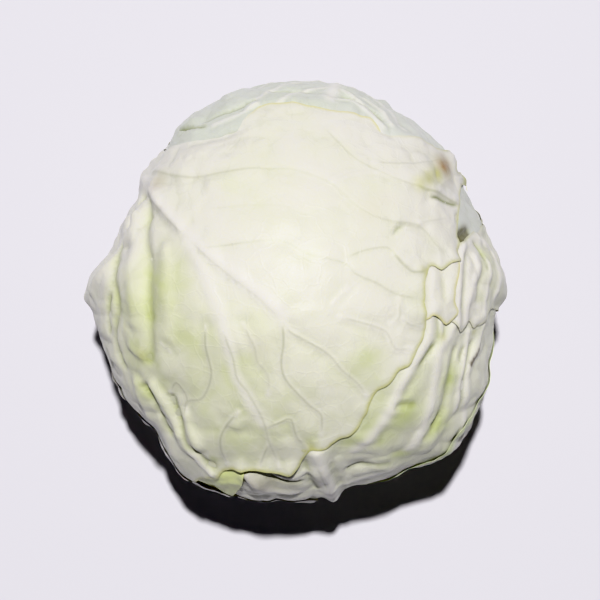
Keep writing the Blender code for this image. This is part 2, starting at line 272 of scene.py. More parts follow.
@dataclass(frozen=True)
class Line:
    """A vein, fold or groove: where it runs, how high it stands and how wide it is."""

    profile: Profile
    height: float
    width: float
    plan: Places = ()
    low: Places = ()
    start: float = 1.0
    end: float = 0.7
    # how dark a thin line is painted along it: painted shade at the foot of a fold or in a crease, partly
    # the veins' own darker tone
    ink: float = 0.0

    def route(self) -> Array:
        """The line's points on the chart, its low points first."""
        return spline(np.vstack([FORM.low(self.low), FORM.seen(self.plan)]), ROUTE_STEP)

    def measure(self, chart: Array) -> tuple[Array, Array, Array]:
        """Measures chart points against the line.

        Args:
            chart: Points on the chart.

        Returns:
            The distance on the leaf, positive on the left; the strength along the line; and the
            distance from the nearer end, along the line.
        """
        route = self.route()
        reach = LINE_REACH + 3.0 * self.width
        distance = np.full(len(chart), FAR)
        strength = np.zeros(len(chart))
        ends = np.zeros(len(chart))
        near = ((chart > route.min(axis=0) - reach) & (chart < route.max(axis=0) + reach)).all(axis=1)
        points = chart[near]
        if not len(points):
            return distance, strength, ends
        along = np.diff(route, axis=0)
        lengths = np.linalg.norm(along, axis=1)
        reached = np.concatenate([[0.0], np.cumsum(lengths)])
        offset = points[:, None] - route[None, :-1]
        share = np.clip((offset * along).sum(axis=2) / lengths**2, 0.0, 1.0)
        gap = offset - share[..., None] * along
        rows = np.arange(len(points))
        nearest = (gap**2).sum(axis=2).argmin(axis=1)
        gap, share, along = gap[rows, nearest], share[rows, nearest], along[nearest]
        outward = points / np.maximum(np.linalg.norm(points, axis=1), 1e-6)[:, None]
        radial = (gap * outward).sum(axis=1)
        round_it = (outward[:, 0] * gap[:, 1] - outward[:, 1] * gap[:, 0]) * FORM.squeeze(points)
        side = np.sign(along[:, 0] * gap[:, 1] - along[:, 1] * gap[:, 0])
        place = reached[nearest] + share * lengths[nearest]
        distance[near] = np.hypot(radial, round_it) * np.where(side < 0, -1.0, 1.0)
        strength[near] = self.start + (self.end - self.start) * place / reached[-1]
        ends[near] = np.minimum(place, reached[-1] - place)
        return distance, strength, ends


@dataclass
class Relief:
    """What the lines on a leaf do to its surface."""

    lines: list[Line]
    puff: float

    def strands(self) -> Array:
        """Lays points along the thin lines, so that the mesh follows them.

        Returns:
            Points on the chart.
        """
        found = [np.zeros((0, 2))]
        for line in self.lines:
            if not line.ink:
                continue
            route = spline(line.route(), STRAND_STEP)
            along = np.gradient(route, axis=0)
            along /= np.maximum(np.linalg.norm(along, axis=1), 1e-9)[:, None]
            across = np.stack([-along[:, 1], along[:, 0]], axis=1)
            found.extend(route + across * strand for strand in STRANDS)
        return np.vstack(found)

    def at(self, chart: Array) -> tuple[Array, dict[str, Array]]:
        """Works out the surface at chart points.

        Args:
            chart: Points on the chart.

        Returns:
            How far the surface stands out, and the marks that the lines leave: paler veins, a thin dark
            line that is painted shade at folds and creases and partly the veins' own darker tone, and a
            greener tint in creases that is partly painted shade.
        """
        ribs = np.zeros(len(chart))
        veins = np.zeros(len(chart))
        rest = np.zeros(len(chart))
        ink = np.zeros(len(chart))
        # a greener, darker tint in creases: partly painted shade, partly the leaf's greener tone there
        crease_shade_green = np.zeros(len(chart))
        nearest = np.full(len(chart), FAR)
        for line in self.lines:
            signed, strength, ends = line.measure(chart)
            distance = np.abs(signed)
            height = line.height * strength
            bell = np.exp(-((distance / line.width) ** 2))
            fade = smooth_step(ends / LINE_FADE)
            # the thin dark line: painted shade at folds and creases, partly the veins' own darker tone
            if line.ink:
                stroke = np.exp(-((distance / SHADE_AND_VEIN_LINE_WIDTH) ** 2))
                ink = np.maximum(ink, line.ink * strength * fade * stroke)
            if line.profile is Profile.RIB:
                ribs = np.maximum(ribs, height * bell)
                pale = np.exp(-((distance / (VEIN_WIDTH_SHARE * line.width)) ** 2))
                veins = np.maximum(veins, min(1.0, 0.35 + 0.5 * line.height) * pale)
            elif line.profile is Profile.SWELL:
                rest += height * bell * fade
            elif line.profile is Profile.CREASE:
                rest -= height * bell * fade
                crease_shade_green = np.maximum(crease_shade_green, min(1.0, height.max() * 0.5) * bell * fade)
            else:
                step = 1 / (1 + np.exp(-np.clip(signed / FOLD_EDGE, -40, 40)))
                rest += height * step * np.exp(-np.maximum(signed, 0.0) / line.width) * fade
            if line.profile is not Profile.SWELL:
                nearest = np.minimum(nearest, distance)
        dome = self.puff * (1 - np.exp(-((nearest / DOME_REACH) ** 2)))
        return ribs + rest + dome, {"vein": veins, "ink": ink, "crease_shade_green": crease_shade_green}


@dataclass(frozen=True)
class Spot:
    """A round area on a leaf, in plan, with an amount for its lift or its tint."""

    place: tuple[float, float]
    radius: float
    amount: float

    def at(self, chart: Array) -> Array:
        """The spot's amount at chart points."""
        gap = np.linalg.norm(chart - FORM.seen((self.place,)), axis=1)
        return self.amount * np.exp(-((gap / self.radius) ** 2))


def total(spots: tuple[Spot, ...], chart: Array) -> Array:
    """The spots' amounts at chart points, added up."""
    return sum((spot.at(chart) for spot in spots), np.zeros(len(chart)))


def inside(polygon: Array, points: Array) -> NDArray[np.bool_]:
    """Tells which points lie inside a closed outline.

    Args:
        polygon: The outline's points.
        points: The points to test.

    Returns:
        True for each point inside.
    """
    crossings = np.zeros(len(points), int)
    for start, end in zip(polygon, np.roll(polygon, -1, axis=0)):
        low, high = min(start[1], end[1]), max(start[1], end[1])
        rows = np.flatnonzero((points[:, 1] >= low) & (points[:, 1] < high))
        if len(rows):
            at = start[0] + (points[rows, 1] - start[1]) * (end[0] - start[0]) / (end[1] - start[1])
            crossings[rows] += points[rows, 0] < at
    return crossings % 2 == 1


@dataclass
class Pile:
    """How high the leaves laid so far reach, on a square grid over the chart."""

    step: float = 1.4
    reach: float = 243.6
    grid: Array = field(init=False)
    heights: Array = field(init=False)

    def __post_init__(self) -> None:
        """Lays out the grid."""
        axis = np.arange(-self.reach, self.reach + self.step / 2, self.step)
        x, y = np.meshgrid(axis, axis, indexing="ij")
        self.grid = np.stack([x.ravel(), y.ravel()], axis=1)
        self.heights = np.zeros((len(axis), len(axis)))

    def draped(self, rounds: int) -> Array:
        """The heights at which the next leaf rests.

        Args:
            rounds: How widely it bridges the steps between the leaves below.

        Returns:
            Heights on the grid.
        """
        level = self.heights
        for _ in range(rounds):
            level = np.maximum(self.heights, self.blurred(level, 1))
        return self.blurred(level, 1)

    @staticmethod
    def blurred(level: Array, rounds: int) -> Array:
        """Averages grid values with their neighbours.

        Args:
            level: Values on the grid.
            rounds: How many times.

        Returns:
            The averaged values.
        """
        for _ in range(rounds):
            for axis in (0, 1):
                level = sum(np.roll(level, shift, axis=axis) for shift in (-1, 0, 0, 1)) / 4
        return level

    def read(self, level: Array, chart: Array) -> Array:
        """Reads grid heights at chart points.

        Args:
            level: Heights on the grid.
            chart: Points on the chart.

        Returns:
            The height at each point.
        """
        place = (chart + self.reach) / self.step
        cell = np.clip(np.floor(place).astype(int), 0, level.shape[0] - 2)
        part = place - cell
        x, y = cell[:, 0], cell[:, 1]
        low = level[x, y] * (1 - part[:, 0]) + level[x + 1, y] * part[:, 0]
        high = level[x, y + 1] * (1 - part[:, 0]) + level[x + 1, y + 1] * part[:, 0]
        return low * (1 - part[:, 1]) + high * part[:, 1]

    def lay(self, covered: NDArray[np.bool_], top: Array) -> None:
        """Raises the grid to a leaf's outer face."""
        flat = self.heights.ravel()
        flat[covered] = top[covered]


class Bed:
    """What a leaf lies on: the pile, closely and smoothly, and where a later leaf will hide it."""

    def __init__(self, pile: Pile, hidden: NDArray[np.bool_], rounds: int) -> None:
        """Reads the pile for one leaf.

        Args:
            pile: The leaves laid so far.
            hidden: Which grid cells are under a later leaf.
            rounds: How widely the leaf bridges the steps between the leaves below.
        """
        self.pile = pile
        self.close = pile.draped(3)
        self.smooth = pile.draped(rounds)
        self.hidden = pile.blurred(hidden.reshape(pile.heights.shape).astype(float), 3)


class Value:
    """A shader socket with Python's operators."""

    def __init__(self, shader: "Shader", socket: bpy.types.NodeSocket) -> None:
        """Wraps a socket of a shader."""
        self.shader = shader
        self.socket = socket

    def _math(self, operation: str, first: object, second: object) -> "Value":
        """Adds one Math node."""
        return self.shader.node("ShaderNodeMath", {"operation": operation}, {0: first, 1: second})

    def __add__(self, other: object) -> "Value":
        """This plus the other."""
        return self._math("ADD", self, other)

    def __sub__(self, other: object) -> "Value":
        """This less the other."""
        return self._math("SUBTRACT", self, other)

    def __rsub__(self, other: object) -> "Value":
        """The other less this."""
        return self._math("SUBTRACT", other, self)

    def __mul__(self, other: object) -> "Value":
        """This times the other."""
        return self._math("MULTIPLY", self, other)

    __radd__ = __add__
    __rmul__ = __mul__

    def clamped(self) -> "Value":
        """This, held between 0 and 1."""
        return self.shader.node("ShaderNodeClamp", {}, {0: self})

    def eased(self, low: float, high: float) -> "Value":
        """This as 0 below low and 1 above high, eased between."""
        values = {0: self, 1: low, 2: high, 3: 0.0, 4: 1.0}
        return self.shader.node("ShaderNodeMapRange", {"interpolation_type": "SMOOTHSTEP"}, values)


class Shader:
    """The node tree of one material."""

    swirl_scale: float = 90.0
    swirl_depth: float = 0.006

    def __init__(self, name: str) -> None:
        """Starts a material with its Principled node.

        Args:
            name: The material's name.
        """
        self.material = bpy.data.materials.new(name)
        self.material.use_nodes = True
        self.tree = self.material.node_tree
        self.surface = self.tree.nodes["Principled BSDF"]

    def node(self, kind: str, settings: dict, values: dict, output: int | str = 0) -> Value:
        """Adds a node.

        Args:
            kind: The node's type.
            settings: Its own options, set first.
            values: What its sockets hold, by name or number: a plain value or a link.
            output: The socket to return.

        Returns:
            The output socket, wrapped.
        """
        made = self.tree.nodes.new(kind)
        for name, setting in settings.items():
            setattr(made, name, setting)
        for name, value in values.items():
            self.put(made.inputs[name], value)
        return Value(self, made.outputs[output])

    def put(self, socket: bpy.types.NodeSocket, value: object) -> None:
        """Links or sets one input socket.

        Args:
            socket: The socket.
            value: A wrapped socket to link, or a plain value.
        """
        if isinstance(value, Value):
            self.tree.links.new(value.socket, socket)
        elif isinstance(value, tuple) and len(value) == 3 and socket.type == "RGBA":
            socket.default_value = (*value, 1.0)
        else:
            socket.default_value = value

    def mix(self, share: Value | float, first: Value | Colour, second: Value | Colour) -> Value:
        """Mixes two colours by a share from 0 to 1."""
        settings = {"data_type": "RGBA", "clamp_factor": True}
        return self.node("ShaderNodeMix", settings, {0: share, 6: first, 7: second}, 2)

    def attribute(self, name: str) -> Value:
        """Reads a number that the mesh holds at its points."""
        return self.node("ShaderNodeAttribute", {"attribute_name": name}, {}, "Fac")

    def place(self) -> Value:
        """The point on the object."""
        return self.node("ShaderNodeTexCoord", {}, {}, "Object")

    def noise(self, size: float, detail: float = 3.0, roughness: float = 0.55) -> Value:
        """Soft noise of about the given size in millimetres."""
        values = {"Vector": self.place(), "Scale": 1 / (size * MILLIMETRE), "Detail": detail}
        return self.node("ShaderNodeTexNoise", {}, {**values, "Roughness": roughness}, "Fac")

    def cells(self, size: float) -> Value:
        """Divides the surface into irregular cells.

        Args:
            size: The cells' size in millimetres.

        Returns:
            The distance to the nearest wall between cells.
        """
        swirl_values = {"Vector": self.place(), "Scale": self.swirl_scale}
        swirl = self.node("ShaderNodeTexNoise", {}, swirl_values, "Color")
        bent_values = {0: swirl, "Scale": self.swirl_depth}
        bent = self.node("ShaderNodeVectorMath", {"operation": "SCALE"}, bent_values)
        moved = self.node("ShaderNodeVectorMath", {"operation": "ADD"}, {0: self.place(), 1: bent})
        settings = {"feature": "DISTANCE_TO_EDGE"}
        values = {"Vector": moved, "Scale": 1 / (size * MILLIMETRE)}
        return self.node("ShaderNodeTexVoronoi", settings, values, "Distance")

    def bump(self, height: Value, distance: float, under: Value | None = None) -> Value:
        """Turns a height into a bump.

        Args:
            height: The height, in the range 0 to 1.
            distance: How many millimetres 1 stands for.
            under: The bump that this one lies on.

        Returns:
            The bumped normal.
        """
        values = {"Height": height, "Distance": distance * MILLIMETRE, "Strength": 1.0}
        if under is not None:
            values["Normal"] = under
        return self.node("ShaderNodeBump", {}, values)


@dataclass(frozen=True)
class LeafFinish:
    """The waxy skin of a leaf, with painted shade in its hollows and creases, along its lines and beside
    its margins.
    """

    name: str
    flesh: Colour = (0.650, 0.635, 0.590)
    green: Colour = (0.465, 0.510, 0.240)
    vein: Colour = (0.700, 0.680, 0.655)
    # the margin's own olive-yellow, kept dark so that it also stands for the thin painted shade line
    # beside a margin
    rim: Colour = (0.400, 0.400, 0.100)
    # painted shade: dark olive laid into the hollows of a leaf's face
    hollow_shade: Colour = (0.290, 0.310, 0.150)
    # the thin dark line along folds, creases and veins: painted shade, partly the veins' own darker tone
    ink: Colour = (0.200, 0.220, 0.090)
    # real browning, and also painted shade where dark spots stand for shadow in gaps and under margins
    brown_and_shade: Colour = (0.270, 0.150, 0.030)
    green_share: float = 0.2
    roughness: float = 0.42
    specular: float = 0.4
    sheen: float = 0.1
    sheen_roughness: float = 0.6
    scattering: float = 0.12
    scattering_colour: Colour = (1.0, 0.9, 0.45)
    scattering_depth: float = 0.0016
    patch_size: float = 38.0
    mottle_size: float = 5.0
    spot_size: float = 11.0
    net_size: float = 6.5
    net_depth: float = 0.035
    wide_net_size: float = 13.0
    grain_size: float = 1.3
    grain_depth: float = 0.07

    def dress(self) -> bpy.types.Material:
        """Makes the material.

        Returns:
            The leaf's material.
        """
        shader = Shader(self.name)
        vein = shader.attribute("vein")
        patches = shader.noise(self.patch_size, 2.0).eased(0.4, 0.7) * self.green_share
        mottle = shader.noise(self.mottle_size, 4.0, 0.65)
        spots = shader.noise(self.spot_size, 2.0, 0.5).eased(0.38, 0.72)
        # the crease tint adds painted shade and green in the creases
        field = patches + shader.attribute("green") + shader.attribute("crease_shade_green") * 0.4
        green = (field * (0.7 + spots * 0.55) + (mottle - 0.5) * 0.08).clamped() * (1 - vein * 0.6)
        net = 1 - shader.cells(self.net_size).eased(0.0, 0.09)
        colour = shader.mix(green, self.flesh, self.green)
        colour = shader.mix(net * 0.07, colour, self.vein)
        # a wide net of veinlets in the colour of the thin dark line
        wide_net = 1 - shader.cells(self.wide_net_size).eased(0.0, 0.03)
        colour = shader.mix(wide_net * patches.eased(0.0, 0.1) * 0.06, colour, self.ink)
        colour = shader.mix(vein * 0.75, colour, self.vein)
        # painted shade in the hollows of the face
        colour = shader.mix(shader.attribute("hollow_shade") * 0.5, colour, self.hollow_shade)
        # the thin dark line: painted shade at folds and creases, partly the veins' own darker tone
        colour = shader.mix(shader.attribute("ink"), colour, self.ink)
        # the margin colour: the leaf edge's own tint, partly a painted shade line
        colour = shader.mix(shader.attribute("rim") * (0.55 + mottle * 0.5), colour, self.rim)
        # browned spots, some of them painted shade in gaps and under margins
        colour = shader.mix((shader.attribute("brown_and_shade") * (0.5 + mottle)).clamped(), colour, self.brown_and_shade)
        surface = shader.surface.inputs
        shader.put(surface["Base Color"], colour)
        shader.put(surface["Roughness"], mottle * 0.16 + (self.roughness - 0.08))
        shader.put(surface["Specular IOR Level"], self.specular)
        shader.put(surface["Sheen Weight"], self.sheen)
        shader.put(surface["Sheen Roughness"], self.sheen_roughness)
        shader.put(surface["Subsurface Weight"], self.scattering)
        shader.put(surface["Subsurface Radius"], self.scattering_colour)
        shader.put(surface["Subsurface Scale"], self.scattering_depth)
        fine = shader.bump(shader.noise(self.grain_size, 3.0, 0.6), self.grain_depth)
        shader.put(surface["Normal"], shader.bump(net, self.net_depth, fine))
        return shader.material


@dataclass(frozen=True)
class StalkFinish:
    """The cut stalk: pale, dry and a little browned, with rings in its cut face."""

    name: str = "cut_stalk"
    flesh: Colour = (0.700, 0.660, 0.440)
    pith: Colour = (0.780, 0.750, 0.580)
    dry: Colour = (0.330, 0.230, 0.110)
    grain_size: float = 2.2
    grain_depth: float = 0.25
    blotch_size: float = 9.0

    def dress(self) -> bpy.types.Material:
        """Makes the material.

        Returns:
            The stalk's material.
        """
        shader = Shader(self.name)
        grain = shader.noise(self.grain_size, 5.0, 0.7)
        blotch = shader.noise(self.blotch_size, 3.0).eased(0.45, 0.75)
        colour = shader.mix(shader.attribute("pith"), self.flesh, self.pith)
        colour = shader.mix(blotch * 0.45 + shader.attribute("ring") * 0.5, colour, self.dry)
        shader.put(shader.surface.inputs["Base Color"], colour)
        shader.put(shader.surface.inputs["Roughness"], 0.55 + grain * 0.3)
        shader.put(shader.surface.inputs["Normal"], shader.bump(grain, self.grain_depth))
        return shader.material


def add_mesh(name: str, points: Array, faces: Array, marks: dict[str, Array]) -> bpy.types.Object:
    """Makes a smooth mesh object.

    Args:
        name: The object's name.
        points: Its points in millimetres.
        faces: Its triangles.
        marks: Numbers that the mesh holds at its points, by name.

    Returns:
        The object, linked to the scene.
    """
    mesh = bpy.data.meshes.new(name)
    mesh.from_pydata((points * MILLIMETRE).tolist(), [], faces.tolist())
    for mark, values in marks.items():
        layer = mesh.attributes.new(mark, "FLOAT", "POINT")
        layer.data.foreach_set("value", values.astype(np.float32))
    mesh.shade_smooth()
    mesh.set_sharp_from_angle(angle=SHARP_ANGLE)
    item = bpy.data.objects.new(name, mesh)
    bpy.context.scene.collection.objects.link(item)
    return item


def triangulated(outline: Array, free: Array) -> tuple[Array, Array, NDArray[np.int64]]:
    """Fills an outline with triangles.

    Args:
        outline: The closed outline.
        free: Points inside it.

    Returns:
        The points, the triangles, and where each outline point is among the points.
    """
    count = len(outline)
    given = [Vector(point) for point in np.vstack([outline, free])]
    ring = [list(range(count))]
    points, _, faces, origins, _, _ = delaunay_2d_cdt(given, [], ring, 1, 1e-4, True)
    where = np.zeros(count, int)
    for number, sources in enumerate(origins):
        for source in sources:
            if source < count:
                where[source] = number
    places = np.array([tuple(point) for point in points])
    triangles = np.array([tuple(face) for face in faces])
    return places, triangles[inside(outline, places[triangles].mean(axis=1))], where


@dataclass
class Veins:
    """The ribs that a leaf has where the plan gives none: a midrib from the stalk, and side ribs."""

    base: float
    tip: tuple[float, float]
    pairs: int = 6
    spread: float = 34.0
    height: float = 2.0
    base_polar: float = 164.0
    middle_width: float = 3.2
    side_width: float = 1.6
    first_share: float = 0.22
    share_span: float = 0.68
    climb: float = 30.0

    def lines(self) -> list[Line]:
        """Draws the midrib and its side ribs.

        Returns:
            The ribs, in low points.
        """
        base = np.array([self.base, self.base_polar])
        tip = np.array(self.tip)
        middle = tuple(tuple(base + (tip - base) * share) for share in np.linspace(0, 1, 6))
        found = [Line(Profile.RIB, self.height, self.middle_width, low=middle, start=1.6, end=0.35)]
        for pair in range(self.pairs):
            share = self.first_share + self.share_span * pair / max(1, self.pairs - 1)
            azimuth, polar = base + (tip - base) * share
            for side in (-1, 1):
                spread = self.spread * (1 - 0.45 * share) * side
                low = tuple(
                    (azimuth + spread * t, polar - self.climb * (1 - 0.35 * share) * t**1.4)
                    for t in np.linspace(0, 1, 5)
                )
                found.append(Line(
                    Profile.RIB, 0.45 * self.height, self.side_width, low=low, start=1.0, end=0.3
                ))
        return found


@dataclass
class Leaf:
    """One leaf: its outline, its ribs and folds, and how its margin lifts."""

    name: str
    slot: str
    finish: LeafFinish
    margin: Places = ()
    turned_under: Places = ()
    lines: list[Line] = field(default_factory=list)
    veins: Veins | None = None
    lift: float = 0.5
    puff: float = 0.5
    rim: float = 0.4
    rim_width: float = 1.2
    rounds: int = 2
    lifts: tuple[Spot, ...] = ()
    greens: tuple[Spot, ...] = ()
    bare: tuple[Spot, ...] = ()
    stains: tuple[Spot, ...] = ()
    brown_and_shade_spots: tuple[Spot, ...] = ()
    blade: float = 0.65
    rim_blade: float = 0.16
    gap: float = 0.25
    settling: float = 12.0
    fine_step: float = 0.95
    low_step: float = 1.9
    base_step: float = 2.8
    hidden_step: float = 5.0

    def outline(self, step: float = 1.6) -> Array:
        """Draws the leaf's closed outline, with a small frill.

        Args:
            step: The distance between the outline's points.

        Returns:
            Points on the chart.
        """
        rim = np.vstack([FORM.seen(self.margin), FORM.low(self.turned_under)])
        closed = spline(np.vstack([rim, rim[:1]]), step)[:-1]
        limit = math.radians(FORM.leaf_end) * FORM.chart_radius
        reach = np.hypot(closed[:, 0], closed[:, 1])
        closed = closed * np.minimum(1.0, limit / reach)[:, None]
        frill = sum(Waves(size, seed).at(closed) * height for size, seed, height in FRILLS)
        outward = closed / np.maximum(np.hypot(closed[:, 0], closed[:, 1]), 1e-6)[:, None]
        return closed - outward * np.abs(frill)[:, None]

    def lattice(self, outline: Array, hidden: NDArray[np.bool_], pile: Pile, strands: Array) -> Array:
        """The points inside the outline: close together where the leaf shows.

        Args:
            outline: The leaf's outline.
            hidden: Which cells of the pile's grid are under a later leaf.
            pile: The leaves laid so far.
            strands: Points along the thin lines.

        Returns:
            Points on the chart.
        """
        low_limit = math.radians(FINE_LIMIT) * FORM.chart_radius
        base_limit = math.radians(LOW_LIMIT) * FORM.chart_radius
        covered = hidden.reshape(pile.heights.shape).astype(float)
        kept = []
        bands = (
            (self.fine_step, 0.0, low_limit, False),
            (self.low_step, low_limit, base_limit, False),
            (self.base_step, base_limit, pile.reach, False),
            (self.hidden_step, 0.0, pile.reach, True),
        )
        for step, start, stop, under in bands:
            low, high = outline.min(axis=0), outline.max(axis=0)
            columns = np.arange(low[0], high[0], step)
            rows = np.arange(low[1], high[1], step * math.sqrt(3) / 2)
            points = np.vstack([
                np.column_stack([columns + step / 2 * (number % 2), np.full_like(columns, row)])
                for number, row in enumerate(rows)
            ])
            reach = np.hypot(points[:, 0], points[:, 1])
            points = points[(reach >= start) & (reach < stop)]
            points = points[(pile.read(covered, points) > SHOWN_LIMIT) == under]
            if len(points):
                kept.append(points[inside(outline, points)])
        kept = self.away_from(outline, np.vstack(kept))
        if len(strands):
            strands = self.away_from(outline, strands[inside(outline, strands)])
            taken, asked = (
                np.round(points / STRAND_CELL).astype(int).tolist() for points in (strands, kept)
            )
            cells = {tuple(cell) for cell in taken}
            kept = np.vstack([kept[[tuple(cell) not in cells for cell in asked]], strands])
        return kept

    @staticmethod
    def away_from(outline: Array, points: Array, clearance: float = 0.55) -> Array:
        """Drops the points that are too close to the outline.

        Args:
            outline: The leaf's outline.
            points: Points inside it.
            clearance: The smallest distance that is kept.

        Returns:
            The other points.
        """
        shrunk = np.ones(len(points), bool)
        for start, end in zip(outline, np.roll(outline, -1, axis=0)):
            near = np.flatnonzero((np.abs(points - (start + end) / 2) < CLEARANCE_SEARCH).all(axis=1))
            if not len(near):
                continue
            along = end - start
            share = np.clip((points[near] - start) @ along / max(along @ along, 1e-9), 0, 1)
            gap = points[near] - start - share[:, None] * along
            shrunk[near[np.hypot(gap[:, 0], gap[:, 1]) < clearance]] = False
        return points[shrunk]

    @staticmethod
    def margin_distance(outline: Array, points: Array, reach: float = 22.0) -> Array:
        """Measures each point's distance to the outline.

        Args:
            outline: The leaf's outline.
            points: The points.
            reach: The largest distance that is told.

        Returns:
            The distances.
        """
        dense = spline(np.vstack([outline, outline[:1]]), MARGIN_STEP)
        tree = KDTree(len(dense))
        for number, (x, y) in enumerate(dense.tolist()):
            tree.insert((x, y, 0.0), number)
        tree.balance()
        return np.array([min(reach, tree.find((x, y, 0.0))[2]) for x, y in points.tolist()])

    def level(
        self, chart: Array, bed: Bed, outline: Array, relief: Relief
    ) -> tuple[Array, dict[str, Array]]:
        """Works out the leaf's faces.

        Args:
            chart: Points on the chart.
            bed: What the leaf lies on.
            outline: The leaf's outline.
            relief: Its ribs and folds.

        Returns:
            The height of the inner face, and the marks for the finish.
        """
        stands, lines = relief.at(chart)
        margin = self.margin_distance(outline, chart)
        shown = 1 - bed.pile.read(bed.hidden, chart)
        polar = np.hypot(chart[:, 0], chart[:, 1]) / FORM.chart_radius
        low = smooth_step((polar - SIDE_START) / SIDE_SPAN)
        stands += self.swell(chart, low, margin)
        edge = np.exp(-((margin / EDGE_REACH) ** 2))
        size, seed, height = EDGE_WAVES
        stands += self.lift * (1 + height * Waves(size, seed).at(chart)) * edge
        for spot in self.lifts:
            stands += spot.at(chart)
        share = smooth_step(margin / self.settling)
        rest = bed.pile.read(bed.close, chart) * (1 - share) + bed.pile.read(bed.smooth, chart) * share
        bare = np.clip(1.0 - total(self.bare, chart), 0.0, 1.0)
        rim = self.rim * bare * np.exp(-((margin / self.rim_width) ** 2))
        marks = {
            **lines,
            "green": np.clip(total(self.greens, chart), -1.0, 1.0),
            "rim": np.clip(rim + total(self.stains, chart), 0.0, 1.0),
            "brown_and_shade": np.clip(total(self.brown_and_shade_spots, chart), 0.0, 1.0),
            "thickness": self.blade - (self.blade - self.rim_blade) * edge,
        }
        return rest + self.gap * (0.3 + 0.7 * smooth_step(margin / GAP_REACH)) + stands * shown, marks

    @staticmethod
    def swell(chart: Array, low: Array, margin: Array) -> Array:
        """The blade's soft waves and crumples, which die away towards its margin.

        Args:
            chart: Points on the chart.
            low: 0 on top of the head and 1 at its sides.
            margin: The distance to the leaf's margin.

        Returns:
            How far the waves stand out.
        """
        height = np.zeros(len(chart))
        inner = smooth_step(margin / SWELL_REACH)
        for size, seed, top, more in WAVES:
            height += (top + more * low) * np.maximum(0.0, inner + Waves(size, seed).at(chart))
        for size, seed, top, more in CRUMPLES:
            height += (top + more * low) * np.abs(Waves(size, seed).at(chart))
        return height * (0.12 + 0.88 * smooth_step(margin / CALM_REACH))

    def build(self, pile: Pile, hidden: NDArray[np.bool_]) -> bpy.types.Object:
        """Makes the leaf as a thin closed blade and lays it on the pile.

        Args:
            pile: The leaves laid so far.
            hidden: Which cells of the pile's grid are under a later leaf.

        Returns:
            The leaf's object.
        """
        outline = self.outline()
        relief = Relief(self.lines + (self.veins.lines() if self.veins else []), self.puff)
        bed = Bed(pile, hidden, self.rounds)
        free = self.lattice(outline, hidden, pile, relief.strands())
        outer, outer_faces, outer_ring = triangulated(outline, free)
        coarse = free[:: max(1, len(free) // INNER_POINTS)]
        inner, inner_faces, inner_ring = triangulated(outline, coarse)
        outer_level, marks = self.level(outer, bed, outline, relief)
        inner_level, inner_marks = self.level(inner, bed, outline, relief)
        # how much painted shade each point of the outer face gets in its hollow
        marks["hollow_shade"] = self.hollow_shade_depths(outer_level, outer_faces)
        inner_marks["hollow_shade"] = np.zeros(len(inner))
        base, outward = FORM.surface(outer)
        top = base + outward * (outer_level + marks["thickness"])[:, None]
        base, outward = FORM.surface(inner)
        bottom = base + outward * inner_level[:, None]
        start = len(top)
        ring = np.arange(len(outline))
        after = np.roll(ring, -1)
        walls = np.vstack([
            np.stack([outer_ring[ring], inner_ring[ring] + start, inner_ring[after] + start], axis=1),
            np.stack([outer_ring[ring], inner_ring[after] + start, outer_ring[after]], axis=1),
        ])
        if self.runs_clockwise(outline):
            walls = walls[:, ::-1]
        faces = np.vstack([outer_faces, inner_faces[:, ::-1] + start, walls])
        joined = {mark: np.concatenate([marks[mark], inner_marks[mark]]) for mark in marks}
        leaf = add_mesh(self.name, np.vstack([top, bottom]), faces, joined)
        leaf.data.materials.append(self.finish.dress())
        self.settle(bed, outline, relief)
        return leaf

    def settle(self, bed: Bed, outline: Array, relief: Relief) -> None:
        """Raises the pile to this leaf's outer face.

        Args:
            bed: What the leaf lies on.
            outline: The leaf's outline.
            relief: Its ribs and folds.
        """
        covered = inside(outline, bed.pile.grid)
        top = bed.pile.heights.ravel().copy()
        level, marks = self.level(bed.pile.grid[covered], bed, outline, relief)
        top[covered] = level + marks["thickness"]
        bed.pile.lay(covered, top)

    @staticmethod
    def runs_clockwise(outline: Array) -> bool:
        """Whether the outline turns clockwise on the chart."""
        after = np.roll(outline, -1, axis=0)
        return float((outline[:, 0] * after[:, 1] - after[:, 0] * outline[:, 1]).sum()) < 0

    @staticmethod
    def hollow_shade_depths(level: Array, faces: Array) -> Array:
        """Finds the hollows of a face, where the finish paints shade.

        Args:
            level: The height at each point.
            faces: The face's triangles.

        Returns:
            How deep each point lies below its neighbours, from 0 to 1.
        """
        pairs = np.concatenate([faces[:, [0, 1]], faces[:, [1, 2]], faces[:, [2, 0]]])
        pairs = np.concatenate([pairs, pairs[:, ::-1]])
        count = np.maximum(np.bincount(pairs[:, 0], minlength=len(level)), 1)
        smooth = level
        for _ in range(HOLLOW_ROUNDS):
            smooth = np.bincount(pairs[:, 0], weights=smooth[pairs[:, 1]], minlength=len(level)) / count
        return np.clip((smooth - level) / HOLLOW_DEPTH, 0.0, 1.0)


def line(
    profile: Profile, height: float, width: float, *plan: tuple[float, float], **more: object
) -> Line:
    """A line given by its plan points."""
    return Line(profile, height, width, plan=plan, **more)


RIB, SWELL, FOLD, CREASE = Profile.RIB, Profile.SWELL, Profile.FOLD, Profile.CREASE


